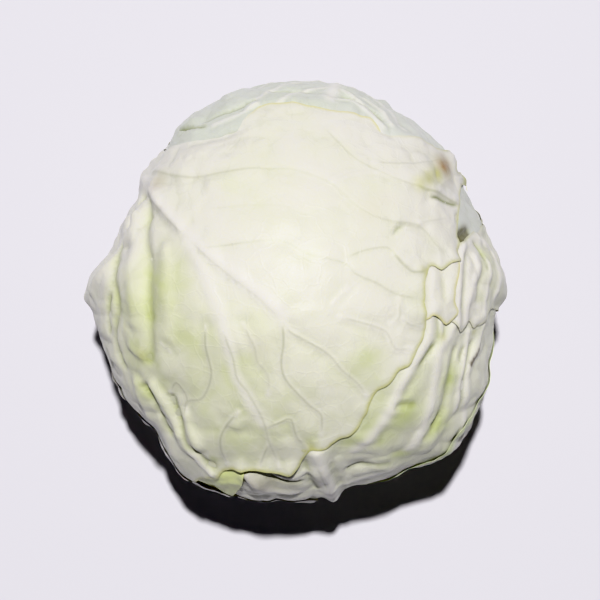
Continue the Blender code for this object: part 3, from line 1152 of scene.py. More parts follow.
def front_lines() -> list[Line]:
    """The big front leaf's ribs, veins and folds.

    Returns:
        The front leaf's lines.
    """
    return [
        line(RIB, 1.2, 3.6, (-60, 44.5), (-52.5, 33), (-44.5, 24.5), (-31.3, 12.4), (-16, 0),
             (-5.6, -8.8), low=((152, 165), (152, 140), (149, 115), (146, 98)), start=2.2, end=0.4),
        line(FOLD, 2.2, 6.0, (-59.7, 40.8), (-53, 31), (-45.6, 23), ink=0.3),
        line(FOLD, 0.8, 7.0, (-42, 19.5), (-33, 11.5), (-25, 5), (-16.2, -1.9), (-5.6, -11.6), ink=0.15),
        line(RIB, 0.3, 1.0, (-5.6, -12), (-5, -21), (-6, -29), (-5, -35), (-1.5, -40), (6.5, -48),
             (10.5, -51), (10.5, -58.5), ink=0.5),
        line(RIB, 0.3, 1.0, (-4, -13), (-2.5, -16.5), (7, -22), (14, -26.5), (19, -32.5), (25, -37.5),
             (29.5, -43), ink=0.4),
        line(SWELL, 0.5, 3.0, (-2.5, -14.5), (3.5, -9), (11.5, -7.5), (17.5, -8)),
        line(RIB, 0.36, 1.2, (15.5, -5), (21.5, 1.5), ink=0.2),
        line(RIB, 0.36, 1.2, (18, -10.5), (31, -14), (37.5, -17), (41, -23.5), (48, -23), ink=0.3),
        line(RIB, 0.8, 3.0, (-44.5, 23), (-40, 13.5), (-35.7, 3.6), (-33.5, -3), (-30.4, -10.8),
             (-27.5, -23), (-25.5, -33), (-21.5, -41), (-17, -48.5), (-13.5, -54.5)),
        line(RIB, 0.36, 1.2, (-29.6, -16), (-26, -27), (-24.2, -36), (-20.5, -41), (-16, -48.5),
             (-13, -54.5), (-11, -62), (-7, -70.5), ink=0.35),
        line(RIB, 0.36, 1.0, (-13, -56.5), (-6, -54), (-2, -53), (0.5, -60), (5, -64), ink=0.5),
        line(RIB, 0.36, 1.0, (-11, -62.5), (-13.5, -68), (-15, -71), ink=0.5),
        line(RIB, 0.36, 1.0, (-23.5, -49.5), (-28, -54.5), (-30.5, -59.5), (-30, -65.5), (-27.5, -70),
             ink=0.55),
        line(FOLD, 1.4, 6.0, (-30, -53), (-26.4, -55.8), (-20, -57.5), ink=0.3),
        line(RIB, 0.18, 0.9, (-22, -13), (-17, -23), (-16, -29), (-11.5, -35.5), (-11.5, -43), ink=0.35),
        line(FOLD, 0.8, 8.0, (-38, 17.5), (-30.5, 18.5), (-16.5, 20.5), (-7, 21), (-2.5, 19.5),
             (4.5, 15.5), (12.5, 13.5), (20, 11.5), (25, 7), (33, 3.5), (41, -1), (50, -3), ink=0.3),
        line(FOLD, 0.6, 6.0, (19.5, 13), (23.5, 15), (29, 17), (37.5, 18), (41, 14.5), (45, 10.5),
             (49, 8), ink=0.3),
        line(RIB, 0.36, 1.1, (42.5, -3), (42.5, -10.5), (39, -13.5), ink=0.35),
        line(RIB, 0.36, 1.1, (43, -10.5), (46.5, -13.5), (53, -14.5), ink=0.35),
        line(FOLD, 0.5, 8.0, (-36.5, 34), (-28.5, 34.5), (-14.5, 35.5), (-2.5, 34.5), (3, 31.5),
             (9.5, 33), (18, 33.5), ink=0.15),
        line(FOLD, 1.0, 9.0, (-58.5, 48), (-48.5, 46.5), (-38.5, 47), (-33, 48), (-20.5, 49.5),
             (-4.5, 50), (1.5, 49), (7.5, 47), (13.5, 44.5), (19.5, 40), (25, 35), (31.5, 31),
             (37.5, 29), (53, 25.5), ink=0.3),
        line(FOLD, 0.8, 8.0, (11.5, 67), (17.5, 61), (23.5, 55), (29.5, 51.5), (37.5, 47.5), (45.5, 44),
             (57.5, 39), (66.5, 35.5), ink=0.25),
        line(RIB, 0.3, 1.4, (15, 45), (24, 49), (32, 49.5), (39, 47.5), ink=0.15),
        line(RIB, 0.24, 1.0, (31.5, 53), (41.5, 52), (51.5, 52.5), (60.5, 54), ink=0.3),
        line(FOLD, 0.8, 5.0, (-28.5, 56), (-23.5, 61.5), (-22.5, 66), ink=0.2),
        line(SWELL, 1.0, 3.5, (-38.5, 43), (-24.5, 46.5), (-10.5, 49)),
        line(CREASE, 1.7, 3.0, (-58.5, 39), (-59.5, 31), (-61, 17), (-60.5, 5), (-60, -11), (-59, -21),
             (-59.5, -31)),
        line(SWELL, 1.7, 4.0, (-63, 33), (-65, 22), (-66, 10), (-66, -4), (-66, -16)),
        line(FOLD, 2.2, 5.0, (-69, -20.5), (-65.5, -24.5), (-60.3, -28.8), ink=0.6),
        line(CREASE, 1.7, 2.8, (-60.5, 41), (-66.5, 29), (-69.5, 21), (-71.5, 13), (-73.5, 1),
             (-72.5, -7), (-73, -19), (-71, -27), (-67.5, -33), ink=0.3),
        line(SWELL, 1.3, 4.0, (-54, 20), (-53.5, 6), (-52, -10), (-53, -22)),
        line(RIB, 0.18, 0.9, (-37, -14), (-37, -23), (-35, -34), (-37, -41.5), (-39.5, -44.5),
             (-45, -45.5), (-44.5, -51.5), ink=0.5),
        line(RIB, 0.18, 0.9, (-54.5, -21), (-51, -25), ink=0.5),
        line(RIB, 0.18, 0.9, (-51.5, -41.5), (-49, -37.5), (-45, -43.5), (-44.5, -48.5), ink=0.5),
        line(SWELL, 1.7, 3.2, (-64.5, -33), (-62.5, -41), (-58.5, -53)),
        line(CREASE, 1.6, 2.2, (-62.5, -35.4), (-58.1, -43.2), (-53.1, -54.3), (-49.7, -61), ink=0.3),
        line(SWELL, 1.7, 2.8, (-59.7, -34.3), (-54.2, -43.2), (-49.7, -52.1), (-46.4, -61)),
        line(CREASE, 1.4, 2.0, (-52, -41), (-48.1, -49.9), (-44.7, -59.9), (-38.6, -67.6), ink=0.3),
        line(CREASE, 1.0, 1.5, (-30.5, -72), (-35, -70), (-39.5, -66), (-43.5, -60.5), ink=0.6),
        line(RIB, 0.9, 1.8, (-34, -72.6), (-38.5, -70), (-42.5, -65.5)),
        line(SWELL, 1.7, 3.0, (-46.4, -46.5), (-42, -57.6), (-36.4, -65.4)),
        line(CREASE, 1.2, 1.6, (-74.8, 1.2), (-75.8, -9.9), (-74.8, -18.8), ink=0.3),
        line(SWELL, 2.6, 5.0, (-66.5, 27), (-74.5, 11), (-82.5, -1)),
        line(FOLD, 0.8, 5.0, (38, 28), (43, 28), (48, 27.5), (52, 25.5), (55, 22), (58, 18), (61, 15),
             ink=0.3),
        line(CREASE, 0.6, 1.0, (39, 22), (42, 26), (46, 27.5), ink=0.3),
        line(FOLD, 1.3, 5.0, (38, 18), (42, 13), (45, 10), (48, 8), (52, 8.3), (54.5, 9.8), ink=0.5),
        line(FOLD, 1.0, 4.0, (47, 44), (51, 41.5), (54, 40.5), (60, 38.5), (64, 36.5), (67, 35.5),
             ink=0.5),
        line(CREASE, 0.9, 1.1, (53.5, 38), (57, 38), (60, 37), (64, 35.7), (66.6, 35), ink=1.0),
        line(RIB, 0.36, 1.2, (57, 41), (60, 44), (63.5, 46.5), ink=0.2),
        line(CREASE, 0.9, 0.8, (65.9, 33), (65.5, 29.5), (65.9, 27), ink=0.8),
        line(RIB, 0.24, 0.9, (50, 28), (57, 29), (62, 30), ink=0.25),
    ]


def fore_lines() -> list[Line]:
    """The lower right leaf's thick base rib and the long folds that fan out from the right.

    Returns:
        The lower right leaf's lines.
    """
    return [
        line(RIB, 1.2, 2.8, (55.6, -9.9), (55.3, -16.5), (52.9, -22.5), (48.3, -29.9), (42.9, -40.5),
             (39.6, -47.2), (33, -56), (24, -65), end=0.5),
        line(CREASE, 0.8, 1.3, (58.3, -19.9), (56.3, -23.2), (54, -26.5), (51.6, -29.9), (49.5, -33),
             ink=0.9),
        line(CREASE, 0.5, 2.2, (49, -34), (46, -40), (43.5, -45)),
        line(CREASE, 0.9, 1.8, (39.5, -50), (41.6, -47.2), (46, -46.4), (51.6, -46.5), ink=0.35),
        line(RIB, 0.8, 1.4, (59.8, -11), (60, -15), (60, -19)),
        line(RIB, 1.4, 2.8, (66.9, -7.2), (64.3, -15.2), (61.6, -19.9), (58.9, -26.5), (58.3, -33.2),
             (56.3, -43.2), (51.6, -56.5), (46.3, -63.2), end=0.7),
        line(SWELL, 0.6, 2.0, (61, -24), (62, -31), (60.5, -38), (58.5, -45)),
        line(CREASE, 1.0, 2.0, (66.9, -20.5), (64.9, -29.9), (63.6, -36.5), (61.6, -45.9),
             (58.9, -52.5), (54.9, -57.9), (50, -62)),
        line(CREASE, 0.8, 1.2, (61, -48.5), (58.5, -53), (54.5, -58.5), ink=0.9),
        line(RIB, 1.1, 2.0, (70.9, -16.5), (69.6, -25.2), (68.3, -33.2), (66.9, -40.5), (65.6, -48.5)),
        line(CREASE, 0.6, 1.2, (70, -20), (68.4, -26), (67, -31), ink=0.35),
        line(CREASE, 0.7, 1.4, (73, -18.5), (71, -26), (69.8, -33), (68.5, -41), (67.5, -48)),
        line(RIB, 1.1, 2.4, (76.3, -15.2), (72.9, -25.2), (70.9, -31.2), (69.6, -40.5), (68.9, -49.9),
             (66.9, -56.5)),
        line(RIB, 3.0, 3.6, (15.5, -84), (13.5, -79), (11, -73), (8.5, -66),
             low=((281, 165), (281, 140), (281, 115), (281, 100)), start=1.2, end=0.8),
        line(CREASE, 0.9, 1.0, (12.5, -80), (10.5, -75), (8.5, -70), ink=0.25),
        line(CREASE, 1.4, 2.2, (17.5, -79.5), (15.8, -75), (13.5, -69), ink=0.15),
        line(CREASE, 1.2, 2.0, (9, -81.5), (6, -78), (4.2, -72.5), (4, -68), ink=0.2),
        line(RIB, 2.4, 2.8, (-20, -74.5), (-15, -77.5), (-9, -80.5), (0, -82)),
        line(CREASE, 1.2, 1.3, (-15, -73), (-8, -76.5), (0, -78), (5, -77.5), ink=0.8),
        line(RIB, 0.9, 1.8, (-11, -73.8), (-2, -75.8), (4, -74)),
        line(CREASE, 1.0, 1.8, (20, -75), (24, -72.3), (33, -70.5), (40, -69), ink=0.4),
        line(RIB, 1.0, 2.6, (22, -78), (29, -75.5), (38, -72)),
        line(SWELL, 1.0, 5.0, (24, -62), (33, -55), (38, -50)),
    ]


def side_lines() -> list[Line]:
    """The right leaf's fan of folds.

    Returns:
        The right leaf's lines.
    """
    return [
        line(RIB, 1.0, 1.9, (68.9, 19.5), (67.6, 13.5), (66.5, 6.8), (66.6, -3.2), (66.2, -9.9),
             (65.5, -14.5)),
        line(CREASE, 0.6, 1.5, (70, 17), (69.3, 10), (68.9, 3.5), (68.3, -3.2), (67.8, -10)),
        line(RIB, 1.2, 2.1, (72.9, 14.1), (73.9, 8.8), (72.3, 3.5), (70.9, -3.2), (69.8, -9.9),
             (69, -14)),
        line(CREASE, 0.7, 1.5, (75.2, 14.5), (76.3, 6.8), (74.9, 0.1), (74.3, -6.5)),
        line(RIB, 1.0, 2.0, (77.5, 11.5), (78.9, 3.5), (77.6, -3.2), (76.3, -8.5)),
        line(CREASE, 0.8, 1.1, (71.6, 22.1), (74.9, 17.5), (76.9, 11.5), (77.5, 7), ink=0.35),
        line(RIB, 1.2, 2.4, (74.9, 21.5), (78.5, 17), (80.8, 11), (82.3, 5), (82, -2)),
        line(CREASE, 0.9, 1.2, (67.2, -16.5), (68.5, -15), (71, -12.5), ink=0.7),
        line(CREASE, 0.9, 1.2, (72, -15), (73.5, -14.5), (75.5, -12.5), ink=0.8),
        line(CREASE, 1.6, 1.6, (67.4, 23.6), (69.3, 23), (71.4, 25.5), ink=1.0),
    ]


def second_lines() -> list[Line]:
    """The folds on the strip of leaf that shows beside the flap.

    Returns:
        The second leaf's lines.
    """
    return [
        line(RIB, 0.7, 2.0, (56.3, 8), (55.8, 0), (55.8, -6), (56.2, -13)),
        line(CREASE, 0.4, 1.5, (59.6, 8), (59.8, -7)),
        line(SWELL, 0.6, 2.4, (62.6, 7), (62.6, -7)),
    ]


def crown_lines() -> list[Line]:
    """The top leaf's folds, and the curled lip at its left.

    Returns:
        The top leaf's lines.
    """
    return [
        line(CREASE, 1.0, 1.5, (-14, 79.2), (-25, 75.5), (-38, 70), ink=0.2),
        line(RIB, 0.9, 1.6, (-16, 76.5), (-24, 73), (-34, 69)),
        line(CREASE, 0.9, 1.4, (-13, 82), (-4, 82.8), (8, 81.8), ink=0.1),
        line(CREASE, 1.3, 1.5, (18, 80.5), (26, 77.5), (32, 73.5), (37, 68.5), ink=0.3),
        line(RIB, 0.9, 1.5, (13, 79.5), (22, 78), (30, 73), (36, 67.5)),
        line(RIB, 1.0, 1.6, (28, 79), (34, 74.5), (39, 68)),
        line(CREASE, 1.6, 1.8, (66, 21), (69, 23), (72.5, 26)),
        line(CREASE, 1.4, 0.9, (-48, 65.5), (-44, 67.3), (-40, 68), (-36.5, 68.4), ink=0.9),
    ]


PALE = LeafFinish("pale_leaf")
BACK = LeafFinish("back_leaf", green_share=0.45)
# Its dark grey-brown spot colour is partly painted shade under the front leaf's bottom margin and partly
# real browned spots.
LOWER = LeafFinish(
    "lower_leaf", flesh=(0.645, 0.645, 0.550), green=(0.43, 0.48, 0.21), brown_and_shade=(0.130, 0.110, 0.070),
    green_share=0.5,
)
LOBE = LeafFinish("green_lobe", flesh=(0.70, 0.76, 0.34), green=(0.54, 0.62, 0.16))
# Painted shade: the lowest left leaf's flesh and margin are darkened because it lies in shade.
UNDER_SHADED = LeafFinish("under_leaf_shaded", flesh=(0.46, 0.45, 0.41), rim=(0.24, 0.22, 0.26))
BRIGHT = LeafFinish("bright_rim", flesh=(0.60, 0.60, 0.48), rim=(0.45, 0.55, 0.22))
RIMMED = LeafFinish("rimmed_leaf", flesh=(0.645, 0.630, 0.575), rim=(0.54, 0.50, 0.14), green_share=0.15)
# The crown's dark olive spot colour is painted shadow for the deep gap beside the flap.
CROWN = LeafFinish(
    "crown_leaf", flesh=(0.55, 0.57, 0.53), green=(0.43, 0.48, 0.31), brown_and_shade=(0.110, 0.105, 0.035),
    green_share=0.3,
)


def head_leaves() -> list[Leaf]:
    """Every leaf, from the innermost to the outermost.

    Returns:
        The nine leaves.
    """
    return [
        Leaf(
            "crown_blade", "outer_leaf", CROWN,
            turned_under=(
                (147, 74), (128, 62), (116, 56), (90, 52), (62, 54), (38, 50), (16, 50), (2, 64), (3, 92),
                (14, 115), (32, 135), (50, 152), (62, 165.5), (88, 165.5), (102, 150), (124, 130),
                (144, 112), (150, 90),
            ),
            lines=crown_lines(), veins=Veins(75, (80, 66)), lift=0.3,
            lifts=(
                Spot((-42, 70), 4.0, 1.4), Spot((36, 77), 5.0, 2.0), Spot((44, 68), 6.0, -1.2),
                Spot((71.5, 29), 14.0, -0.8),
            ),
            greens=(Spot((-38, 68), 1.8, 1.0),),
            # painted shadow: dark spots for the deep gap between the flap and the right leaf
            brown_and_shade_spots=(
                Spot((68.6, 22.8), 3.4, 1.4), Spot((69.8, 23.8), 3.4, 1.2), Spot((70.8, 24.6), 3.0, 1.2),
            ),
        ),
        Leaf(
            "fore_blade", "outer_leaf", LOWER,
            margin=(
                (-34, -76), (-20, -65), (-2, -58), (10, -48), (22, -35), (36, -19), (43, -3), (54, 6),
                (77, -2),
            ),
            turned_under=(
                (-6, 100), (1, 122), (9, 146), (15, 165.5), (-12, 165.5), (-40, 165.5), (-66, 165.5),
                (-92, 165.5), (-100, 148), (-112, 122), (-117, 100),
            ),
            lines=fore_lines(), lift=0.3,
            lifts=(Spot((15.5, -83), 4.5, 2.4), Spot((9, -74), 6.0, 1.2), Spot((-16, -77), 6.0, 1.2)),
            greens=(
                Spot((46, -50), 8.0, 0.8), Spot((60, -54), 8.0, 0.8), Spot((60, -18), 3.5, 0.5),
                Spot((64, -36), 7.0, 0.6), Spot((24, -62), 7.0, 0.6), Spot((36, -57), 8.0, 0.5),
                Spot((50, -34), 6.0, 0.35), Spot((44, -66), 6.0, 0.6),
            ),
            stains=(Spot((60.3, -18.5), 2.0, 0.5), Spot((73, -16.5), 1.6, 0.6)),
            # painted shade under the front leaf's lifted bottom margin at (-22..-2, -79..-76), and real
            # browned spots by the knob and along the right edge
            brown_and_shade_spots=(
                Spot((9.5, -76), 2.6, 0.3), Spot((26, -70), 3.6, 0.25), Spot((-12, -77.5), 8.0, 0.45),
                Spot((-22, -76.5), 7.0, 0.5), Spot((-2, -79), 6.0, 0.3), Spot((71.6, -29.4), 1.2, 1.8),
                Spot((72.4, -27.6), 1.2, 1.8), Spot((73.2, -25.6), 1.3, 1.8),
                Spot((73.8, -23.6), 1.2, 1.8), Spot((74.6, -21.4), 1.2, 1.6),
            ),
        ),
        Leaf(
            "side_blade", "outer_leaf", BACK,
            margin=(
                (74, 26), (71, 22.6), (68.6, 20.6), (62, 18), (57.5, 13), (55, 3), (58, -8),
                (64, -12.5), (67, -16.5), (71, -12), (72.5, -15), (76.5, -12), (81, -7),
            ),
            turned_under=(
                (-5, 104), (2, 130), (10, 150), (14, 165.5), (36, 165.5), (42, 150), (42, 128),
                (28, 106), (21, 90),
            ),
            lines=side_lines(), veins=Veins(24, (14, 92), 4, 22.0), lift=0.4,
            lifts=(Spot((75, 24), 12.0, -1.2), Spot((76, 33), 9.0, -1.2), Spot((83, -8), 6.0, -0.8)),
            greens=(Spot((76.5, -2), 4.0, 0.4), Spot((76, 15), 4.0, 0.4)),
            brown_and_shade_spots=(Spot((73, -15.5), 1.2, 0.8),),
        ),
        Leaf(
            "tuck_blade", "green_leaf", LOBE,
            margin=((-48, -58), (-38.5, -54), (-28.5, -58), (-22, -67), (-21, -75), (-24, -81)),
            turned_under=(
                (250, 102), (245, 125), (238, 150), (235, 165.5), (216, 165.5), (215, 150),
                (220, 122), (228, 98),
            ),
            veins=Veins(226, (238, 80), 4, 14.0), lift=0.3, rim=0.2, lifts=(Spot((-29, -76), 8.0, 1.8),),
        ),
        Leaf(
            "second_blade", "green_leaf", RIMMED,
            margin=(
                (-27, 63), (-22.5, 69), (-18.5, 73), (-13.5, 76), (-6.5, 77), (1.5, 76.5), (11.5, 75),
                (19.5, 74), (25.5, 72.5), (31.5, 70), (37.5, 62.5), (49.5, 53), (61, 37), (64, 22),
                (66, 12), (64.7, 1), (64.8, -4), (66, -8), (64.3, -10.6), (61.4, -13.6), (59.8, -12.2),
                (57.6, -10.4), (55.6, -9.8), (53, -12), (40, -12), (15, -19), (-15, -25), (-46, -32),
            ),
            turned_under=(
                (218, 92), (214, 120), (209, 145), (205, 165.5), (178, 165.5), (172, 145),
                (160, 115), (148, 88),
            ),
            lines=second_lines(), veins=Veins(191, (190, 110), 3, 16.0), lift=0.2, rim=0.9, rim_width=0.9,
            bare=(Spot((-25, 68), 10.0, 1.2),),
        ),
        Leaf(
            "front_blade", "outer_leaf", PALE,
            margin=(
                (-53.5, 57), (-46.5, 60.5), (-38.5, 63), (-28.5, 65.5), (-22.5, 67), (-18.5, 69),
                (-13.5, 70.5), (-6.5, 70.5), (1.5, 70.2), (11.5, 70), (19.5, 70), (25.5, 69.3),
                (31, 67.2), (36, 64.5), (42, 63), (47, 62.3), (51, 61.3), (55, 59.5), (60, 57.5),
                (63, 55.5), (64.3, 51.5), (65.2, 48.8), (68.3, 47.4), (70.8, 44.8), (71.6, 42),
                (69.6, 43.2), (67.2, 43.2), (66.9, 39.5),
                (67, 36), (66.6, 31), (66.4, 24), (67.2, 20.5), (65.5, 16), (66.4, 12.8), (62.5, 11.5),
                (61, 10), (59.5, 8.8), (57.5, 9.6), (55.5, 10.6), (54, 8.8), (53.4, 4), (53, 0),
                (52.6, -6), (53.2, -13), (52.8, -17.5), (51, -21.5), (49, -25), (46, -30.5),
                (43, -32.5), (40, -36.5), (37.5, -39), (34, -41.5), (31, -46), (29, -50),
                (26.8, -53), (24.5, -56.5), (20, -59.5), (16, -60.8), (12, -63.5), (7, -64.2),
                (5, -65.5), (2.5, -69), (1, -71.3), (-2, -72.8), (-6, -72.5), (-14, -72),
                (-20, -71.2), (-26, -71.3), (-29.5, -72.5), (-31.5, -74.5), (-35, -74.3), (-38.5, -75.5),
                (-41, -76.5),
            ),
            turned_under=(
                (240, 88), (231, 97), (222, 113), (208, 132), (190, 150), (170, 165.5), (136, 165.5),
                (128, 146), (127, 118), (131, 92),
            ),
            lines=front_lines(), lift=0.35, puff=0.4, rim=0.95, rim_width=1.2, rounds=14,
            lifts=(
                Spot((69, 45), 3.0, 0.8), Spot((-22, -72), 6.0, 2.2), Spot((-13, -73), 6.0, 2.4),
                Spot((-3, -73), 6.0, 2.0), Spot((-85, -3), 5.0, 2.0), Spot((-60, 39), 5.0, -1.5),
                Spot((-61, 48), 5.0, 1.2), Spot((-70, -42), 7.0, 1.0), Spot((-55, 61), 10.0, -1.3),
            ),
            bare=(Spot((0, 72), 62.0, 1.3), Spot((-48, 61), 22.0, 1.0)),
            greens=(
                Spot((-54, 6), 16.0, 0.4), Spot((-30, -56), 30.0, 0.42), Spot((-62, -8), 20.0, 0.45),
                Spot((28, -33), 9.0, 0.35), Spot((-62, -36), 16.0, 0.35), Spot((-26, -34), 9.0, 0.25),
                Spot((-38, -20), 12.0, 0.2), Spot((0, -34), 55.0, 0.13), Spot((68.5, 45), 7.0, 1.2),
                Spot((-33.5, -68), 2.0, 0.9), Spot((6, -62), 4.0, 0.5), Spot((32, -26), 5.0, 0.35),
            ),
            stains=(
                Spot((50, 43.5), 3.5, 0.5), Spot((53.5, 45.5), 4.0, 0.8), Spot((57, 48), 4.5, 1.0),
                Spot((61, 50.5), 5.5, 1.0), Spot((69, 45), 6.0, 0.8), Spot((-33.5, -70), 2.0, 0.6),
                Spot((6, -63), 2.5, 0.5), Spot((-62, -25.5), 3.5, 0.35), Spot((52, 8.8), 2.0, 0.5),
            ),
            brown_and_shade_spots=(
                Spot((59.8, 50.2), 4.4, 0.9), Spot((61.4, 51.8), 5.0, 0.9), Spot((-55.3, 42.9), 5.0, 0.25),
                Spot((31, 33), 5.0, 0.07), Spot((37, 38), 4.0, 0.06), Spot((-16, -22), 5.0, 0.05),
            ),
        ),
        Leaf(
            "low_back_blade", "green_leaf", BACK,
            turned_under=(
                (30, 106), (40, 100), (52, 103), (64, 98), (76, 101), (88, 97), (100, 100), (112, 98),
                (124, 103), (136, 105), (148, 105), (158, 105), (168, 112), (162, 130), (140, 150),
                (116, 165.5), (84, 165.5), (62, 150), (38, 128),
            ),
            veins=Veins(100, (100, 98), 5, 50.0), lift=0.3, rim=0.5,
        ),
        Leaf(
            "low_right_blade", "green_leaf", BRIGHT,
            turned_under=(
                (289, 92), (294, 87), (300, 83), (306, 80), (311, 78), (315, 75), (319, 73), (324, 75),
                (329, 79), (334, 83), (339, 85), (344, 87), (349, 93), (349, 106), (346, 126),
                (336, 148), (326, 165.5),
                (302, 165.5), (295, 148), (291, 122), (288, 102),
            ),
            veins=Veins(313, (316, 76), 5, 26.0), lift=0.0, gap=0.1, rim=0.7, rim_width=5.0,
        ),
        Leaf(
            "low_left_blade", "green_leaf", UNDER_SHADED,
            turned_under=(
                (192, 98), (199, 94), (206, 89), (213, 90), (220, 87), (226, 88), (232, 86), (239, 87),
                (246, 85), (253, 84), (259, 86), (265, 84), (270, 86), (274, 87), (276, 93),
                (275, 106), (271, 124), (266, 148), (258, 165.5), (238, 165.5), (224, 148),
                (204, 128), (191, 108),
            ),
            veins=Veins(248, (240, 86), 6, 34.0), lift=0.0, gap=0.1, rim=0.8, rim_width=2.0,
            lifts=(Spot((-37, -80), 9.0, 1.2),),
        ),
    ]


NODE_OF = {
    "crown_blade": "leaf_crown", "fore_blade": "leaf_fore", "side_blade": "leaf_side",
    "tuck_blade": "leaf_tuck", "second_blade": "leaf_second", "front_blade": "leaf_front",
    "low_back_blade": "leaf_low_back", "low_right_blade": "leaf_low_right",
    "low_left_blade": "leaf_low_left",
}


@dataclass
class Foliage:
    """All the leaves, laid one on another."""

    leaves: list[Leaf] = field(default_factory=head_leaves)
    cover: float = 6.0

    def hidden_cells(self, pile: Pile) -> list[NDArray[np.bool_]]:
        """Finds where the leaves are hidden.

        Args:
            pile: The grid, still empty.

        Returns:
            For each leaf, which grid cells are well under a later one.
        """
        shells = []
        for leaf in self.leaves:
            covered = inside(leaf.outline(), pile.grid).reshape(pile.heights.shape)
            for _ in range(int(self.cover / pile.step)):
                around = [np.roll(covered, shift, axis=axis) for shift in (-1, 1) for axis in (0, 1)]
                covered = covered & np.logical_and.reduce(around)
            shells.append(covered.ravel())
        hidden = []
        for number in range(len(shells)):
            later = shells[number + 1:]
            hidden.append(np.logical_or.reduce(later) if later else np.zeros_like(shells[0]))
        return hidden

    def build(self) -> None:
        """Makes every leaf from the inside out."""
        pile = Pile()
        for leaf, hidden in zip(self.leaves, self.hidden_cells(pile)):
            blade = leaf.build(pile, hidden)
            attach(blade, BODY)
            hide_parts(NODE_OF[leaf.name])
            LOG.info("%s: %d triangles", leaf.name, len(blade.data.polygons))


@dataclass
class Heart:
    """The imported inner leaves."""

    node: str = "heart"
    finish: LeafFinish = LeafFinish("heart_leaf", flesh=(0.78, 0.76, 0.52))

    def dress(self) -> None:
        """Gives the solid its finish."""
        material = self.finish.dress()
        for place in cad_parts[self.node].material_slots:
            place.material = material
        LOG.info("%s dressed", self.node)


@dataclass
class Stalk:
    """The cut stalk below the leaves, and its core inside the head."""

    node: str = "stalk"
    profile: tuple[tuple[float, float], ...] = (
        (17.4, 0.0), (18.3, 0.7), (18.9, 2.6), (18.8, 5.0), (18.0, 9.0), (16.4, 14.0),
        (14.5, 26.0), (12.0, 42.0), (8.6, 56.0), (4.8, 64.0),
    )
    sectors: int = 96
    face_rings: tuple[float, ...] = (16.6, 15.4, 13.6, 11.0, 8.0, 5.0, 2.4)
    ring_radius: float = 12.6
    ring_width: float = 1.3
    face_limit: float = 0.5
    scar_depth: float = 0.35
    scar_height: float = 8.0
    bark_height: float = 20.0
    row_step: float = 1.2
    tip: float = 67.0

    def build(self) -> None:
        """Makes the stalk in place of its plain solid."""
        turns = np.arange(self.sectors) * 2 * math.pi / self.sectors
        wobble = 1 + 0.012 * np.sin(3 * turns + 1.0) + 0.008 * np.sin(7 * turns)
        rings = [(radius, 0.0) for radius in reversed(self.face_rings)]
        route = spline(np.array(rings[-1:] + list(self.profile)), self.row_step)[1:]
        rows = [np.array(ring) for ring in rings] + list(route)
        points = [[0.0, 0.0, 0.0]]
        for radius, height in rows:
            fade = math.sin(min(1.0, height / self.scar_height) * math.pi)
            scar = self.scar_depth * np.sin(5 * turns + height) * fade
            reach = (radius + scar) * (wobble if height < self.bark_height else 1.0)
            level = np.full(self.sectors, max(0.0, height))
            points.extend(np.column_stack([reach * np.cos(turns), reach * np.sin(turns), level]))
        points.append([0.0, 0.0, self.tip])
        last = len(points) - 1
        faces = []
        for number in range(self.sectors):
            after = (number + 1) % self.sectors
            faces.append((0, 1 + after, 1 + number))
            for row in range(len(rows) - 1):
                low, high = 1 + row * self.sectors, 1 + (row + 1) * self.sectors
                faces.append((low + number, low + after, high + after))
                faces.append((low + number, high + after, high + number))
            top = 1 + (len(rows) - 1) * self.sectors
            faces.append((top + number, top + after, last))
        places = np.array(points, float)
        reach = np.hypot(places[:, 0], places[:, 1])
        on_face = places[:, 2] < self.face_limit
        marks = {
            "pith": np.exp(-((reach / self.ring_radius) ** 4)) * on_face,
            "ring": np.exp(-(((reach - self.ring_radius) / self.ring_width) ** 2)) * on_face,
        }
        stalk = add_mesh("cut_stalk", places, np.array(faces), marks)
        stalk.data.materials.append(StalkFinish().dress())
        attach(stalk, BODY)
        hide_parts(self.node)
        LOG.info("stalk: %d triangles", len(stalk.data.polygons))


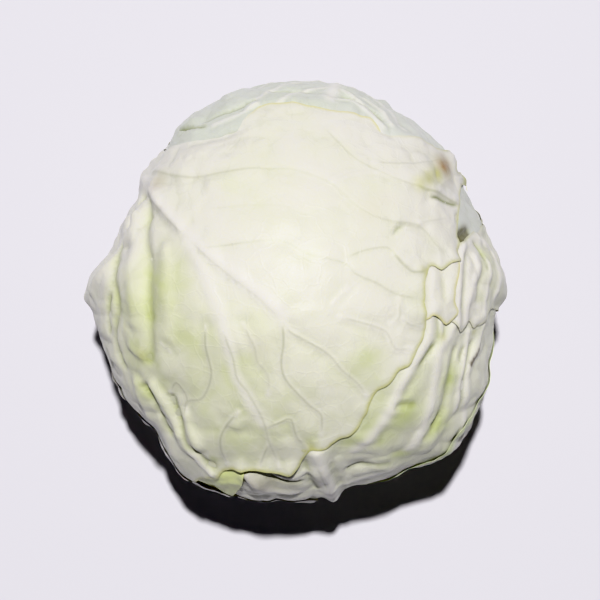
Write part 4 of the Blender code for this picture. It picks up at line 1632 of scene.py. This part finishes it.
@dataclass
class Studio:
    """The floor, the lights and the camera."""

    view: tuple[float, float] = (1.6, -3.2)
    view_distance: float = 950.0
    view_width: float = 240.0
    sensor: float = 36.0
    floor_size: float = 4.0
    floor_colour: Colour = (0.635, 0.625, 0.690)
    floor_roughness: float = 0.9
    floor_specular: float = 0.1
    key_tilt: float = 12.8
    key_distance: float = 2.5
    key_size: float = 0.09
    key_power: float = 90.0
    key_colour: Colour = (1.0, 0.985, 0.96)
    sky: Colour = (0.45, 0.80, 1.0)
    sky_strength: float = 0.006

    def camera(self) -> None:
        """Looks straight down on the head."""
        data = bpy.data.cameras.new("camera")
        data.sensor_width = self.sensor
        data.sensor_height = self.sensor
        data.lens = self.sensor * self.view_distance / self.view_width
        camera = bpy.data.objects.new("camera", data)
        height = FORM.girth_height + self.view_distance
        camera.location = Vector((*self.view, height)) * MILLIMETRE
        bpy.context.scene.collection.objects.link(camera)
        bpy.context.scene.camera = camera

    def lamp(self) -> None:
        """Adds the small round lamp that points at the head, a little from the top of the picture."""
        data = bpy.data.lights.new("key", "AREA")
        data.shape = "DISK"
        data.size = self.key_size
        data.energy = self.key_power
        data.color = self.key_colour
        lamp = bpy.data.objects.new("key", data)
        tilt = math.radians(self.key_tilt)
        place = Vector((0.0, self.key_distance * math.sin(tilt), self.key_distance * math.cos(tilt)))
        lamp.location = place
        aim = Vector((0.0, 0.0, FORM.girth_height * MILLIMETRE)) - place
        lamp.rotation_euler = aim.to_track_quat("-Z", "Y").to_euler()
        bpy.context.scene.collection.objects.link(lamp)

    def floor(self) -> None:
        """Lays a plain pale floor."""
        half = self.floor_size / 2 / MILLIMETRE
        corners = half * np.array([(-1.0, -1.0, 0.0), (1.0, -1.0, 0.0), (1.0, 1.0, 0.0), (-1.0, 1.0, 0.0)])
        floor = add_mesh("floor", corners, np.array([(0, 1, 2), (0, 2, 3)]), {})
        shader = Shader("pale_floor")
        shader.put(shader.surface.inputs["Base Color"], self.floor_colour)
        shader.put(shader.surface.inputs["Roughness"], self.floor_roughness)
        shader.put(shader.surface.inputs["Specular IOR Level"], self.floor_specular)
        floor.data.materials.append(shader.material)

    def build(self) -> None:
        """Sets up the whole studio."""
        self.floor()
        self.lamp()
        world = bpy.data.worlds.new("sky")
        world.use_nodes = True
        background = world.node_tree.nodes["Background"]
        background.inputs["Color"].default_value = (*self.sky, 1.0)
        background.inputs["Strength"].default_value = self.sky_strength
        bpy.context.scene.world = world
        bpy.context.scene.view_settings.view_transform = "Khronos PBR Neutral"
        bpy.context.scene.view_settings.look = "None"
        self.camera()
        LOG.info("studio ready")


def main() -> None:
    """Builds the head and the studio."""
    logging.basicConfig(level=logging.INFO, format="%(message)s")
    Foliage().build()
    Heart().dress()
    Stalk().build()
    Studio().build()


if __name__ == "__main__":
    main()
